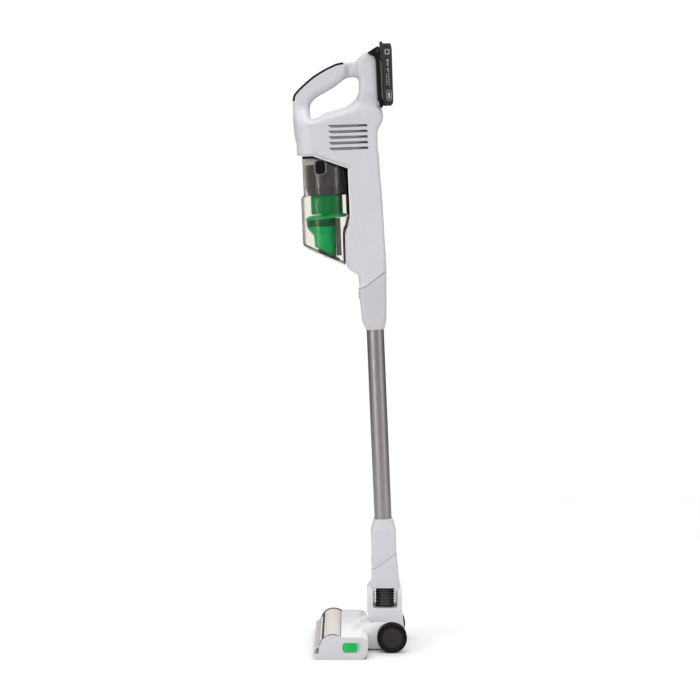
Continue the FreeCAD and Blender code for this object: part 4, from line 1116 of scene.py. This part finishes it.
def wheels():
    for side, name in ((1, "left"), (-1, "right")):
        place = axle_place(side)
        tyre = [(21.9, 51.2), (26.0, 51.2), (27.1, 52.0), (27.5, 53.4)]
        for k in range(5):
            base = 54.4 + 2.9 * k
            tyre += [(27.5, base), (27.5, base + 1.9), (26.9, base + 2.2), (26.9, base + 2.6)]
        tyre += [(27.5, 68.8), (27.2, 70.0), (26.4, 70.9), (25.2, 71.0), (22.6, 69.4), (21.9, 69.0)]
        finish(f"wheel_{name}_tyre_skin", moved(lathe(tyre, 128), place), f"wheel_{name}",
               [f"wheel_{name}_tyre"], UPRIGHT)
        hub = [(3.05, 51.6), (21.7, 51.6), (21.8, 68.9), (21.3, 69.4), (20.9, 69.2), (20.7, 67.0),
               (20.0, 66.2),
               (19.5, 66.8), (18.9, 67.6), (0.01, 67.7), (0.01, 66.2), (3.05, 66.2)]
        finish(f"wheel_{name}_hub_disc", moved(lathe(hub, 128), place), f"wheel_{name}",
               [f"wheel_{name}_hub"], UPRIGHT, DISC)
    pin = [(0.01, 37.2), (2.7, 37.2), (3.0, 37.6), (3.0, 65.6), (2.7, 66.0), (0.01, 66.0)]
    pins = [moved(lathe(pin, 48, closed=False), axle_place(side)) for side in (1, -1)]
    finish("stub_axle_pins", joined(*pins), "floor_head", ["stub_axles"], UPRIGHT)


# ---- stage, light and camera

FLOOR_HALF = 1.7
CAMERA_PLACE = (3.663, 0.0, 0.884)
CAMERA_TARGET = (0, 0, 0.5551)
CAMERA_LENS = 102.03


def floor():
    grid = bmesh.new()
    bmesh.ops.create_grid(grid, x_segments=1, y_segments=1, size=FLOOR_HALF)
    thing = mesh_object("floor", grid)
    material, tree, bsdf = shader("floor_paint", (0.9, 0.9, 0.9), 0.9)
    shade = tint(tree, noise(tree, 3), (0.81, 0.81, 0.81), (0.79, 0.79, 0.79))
    tree.links.new(shade, bsdf.inputs["Base Color"])
    thing.data.materials.append(material)


def studio():
    """A pale room seen as plain white, whose light is weaker low down and behind the object."""
    world = bpy.data.worlds.new("studio")
    bpy.context.scene.world = world
    world.use_nodes = True
    tree = world.node_tree
    background = tree.nodes["Background"]
    background.inputs["Color"].default_value = (1, 1, 1, 1)
    split = added(tree, "SeparateXYZ")
    tree.links.new(added(tree, "TexCoord").outputs["Generated"], split.inputs["Vector"])
    sky = ramp(tree, split.outputs["Z"], 0.60, 1.5, 0.05, 1.0)
    ground = ramp(tree, split.outputs["Z"], 0.25, 1.0, -0.30, 0.02)
    low = ramp(tree, maths(tree, "ABSOLUTE", split.outputs["Z"], 0), 0.85, 0.0, 0.20, 0.50)
    behind = ramp(tree, split.outputs["X"], 1.0, 0.0, -0.45, 0.05)
    dim = maths(tree, "SUBTRACT", 1.0, maths(tree, "MULTIPLY", low, behind))
    light = maths(tree, "MULTIPLY", maths(tree, "MULTIPLY", sky, ground), dim)
    path = added(tree, "LightPath")
    direct = maths(tree, "MAXIMUM", path.outputs["Is Camera Ray"], path.outputs["Is Transmission Ray"])
    seen = maths(tree, "MULTIPLY", direct, maths(tree, "SUBTRACT", 1.02, light))
    tree.links.new(maths(tree, "ADD", light, seen), background.inputs["Strength"])


def aimed(thing, place, target):
    thing.location = place
    thing.rotation_euler = (Vector(target) - Vector(place)).to_track_quat("-Z", "Y").to_euler()


def lamp(name, place, target, size, power):
    data = bpy.data.lights.new(name, "AREA")
    data.shape = "RECTANGLE"
    data.size, data.size_y = size
    data.energy = power
    aimed(placed(name, data), place, target)


def camera():
    data = bpy.data.cameras.new("camera")
    data.lens = CAMERA_LENS
    data.sensor_width = 36.0
    thing = placed("camera", data)
    aimed(thing, CAMERA_PLACE, CAMERA_TARGET)
    bpy.context.scene.camera = thing
    bpy.context.scene.view_settings.view_transform = "Standard"


def dress_cad():
    """Gives every CAD node its material, shown or not."""
    for name, thing in frame["nodes"].items():
        thing.data.materials.clear()
        thing.data.materials.append(MATERIALS[SLOT_OF[name]])


dress_cad()
camera()
floor()
studio()
housing()
painted_vent_shades()
grip()
handle_buttons()
wand()
neck()
hose()
yoke()
wand_buttons()
dust_bin()
bin_door()
filter_cup()
cyclone_screen()
cyclone_cone()
bin_latches()
battery()
battery_marks()
dock()
head()
brush_slider()
brush_window()
front_skirt()
brush()
wheels()
lamp("front_box", place=(2.5, -2.3, 1.0), target=(0, 0, 0.8), size=(0.9, 2.4), power=38)
lamp("rear_box", place=(1.8, 2.8, 1.0), target=(0, 0, 0.8), size=(0.8, 2.4), power=18)
lamp("top", place=(0.2, -0.1, 3.2), target=(0, 0, 0), size=(1.2, 1.2), power=12)
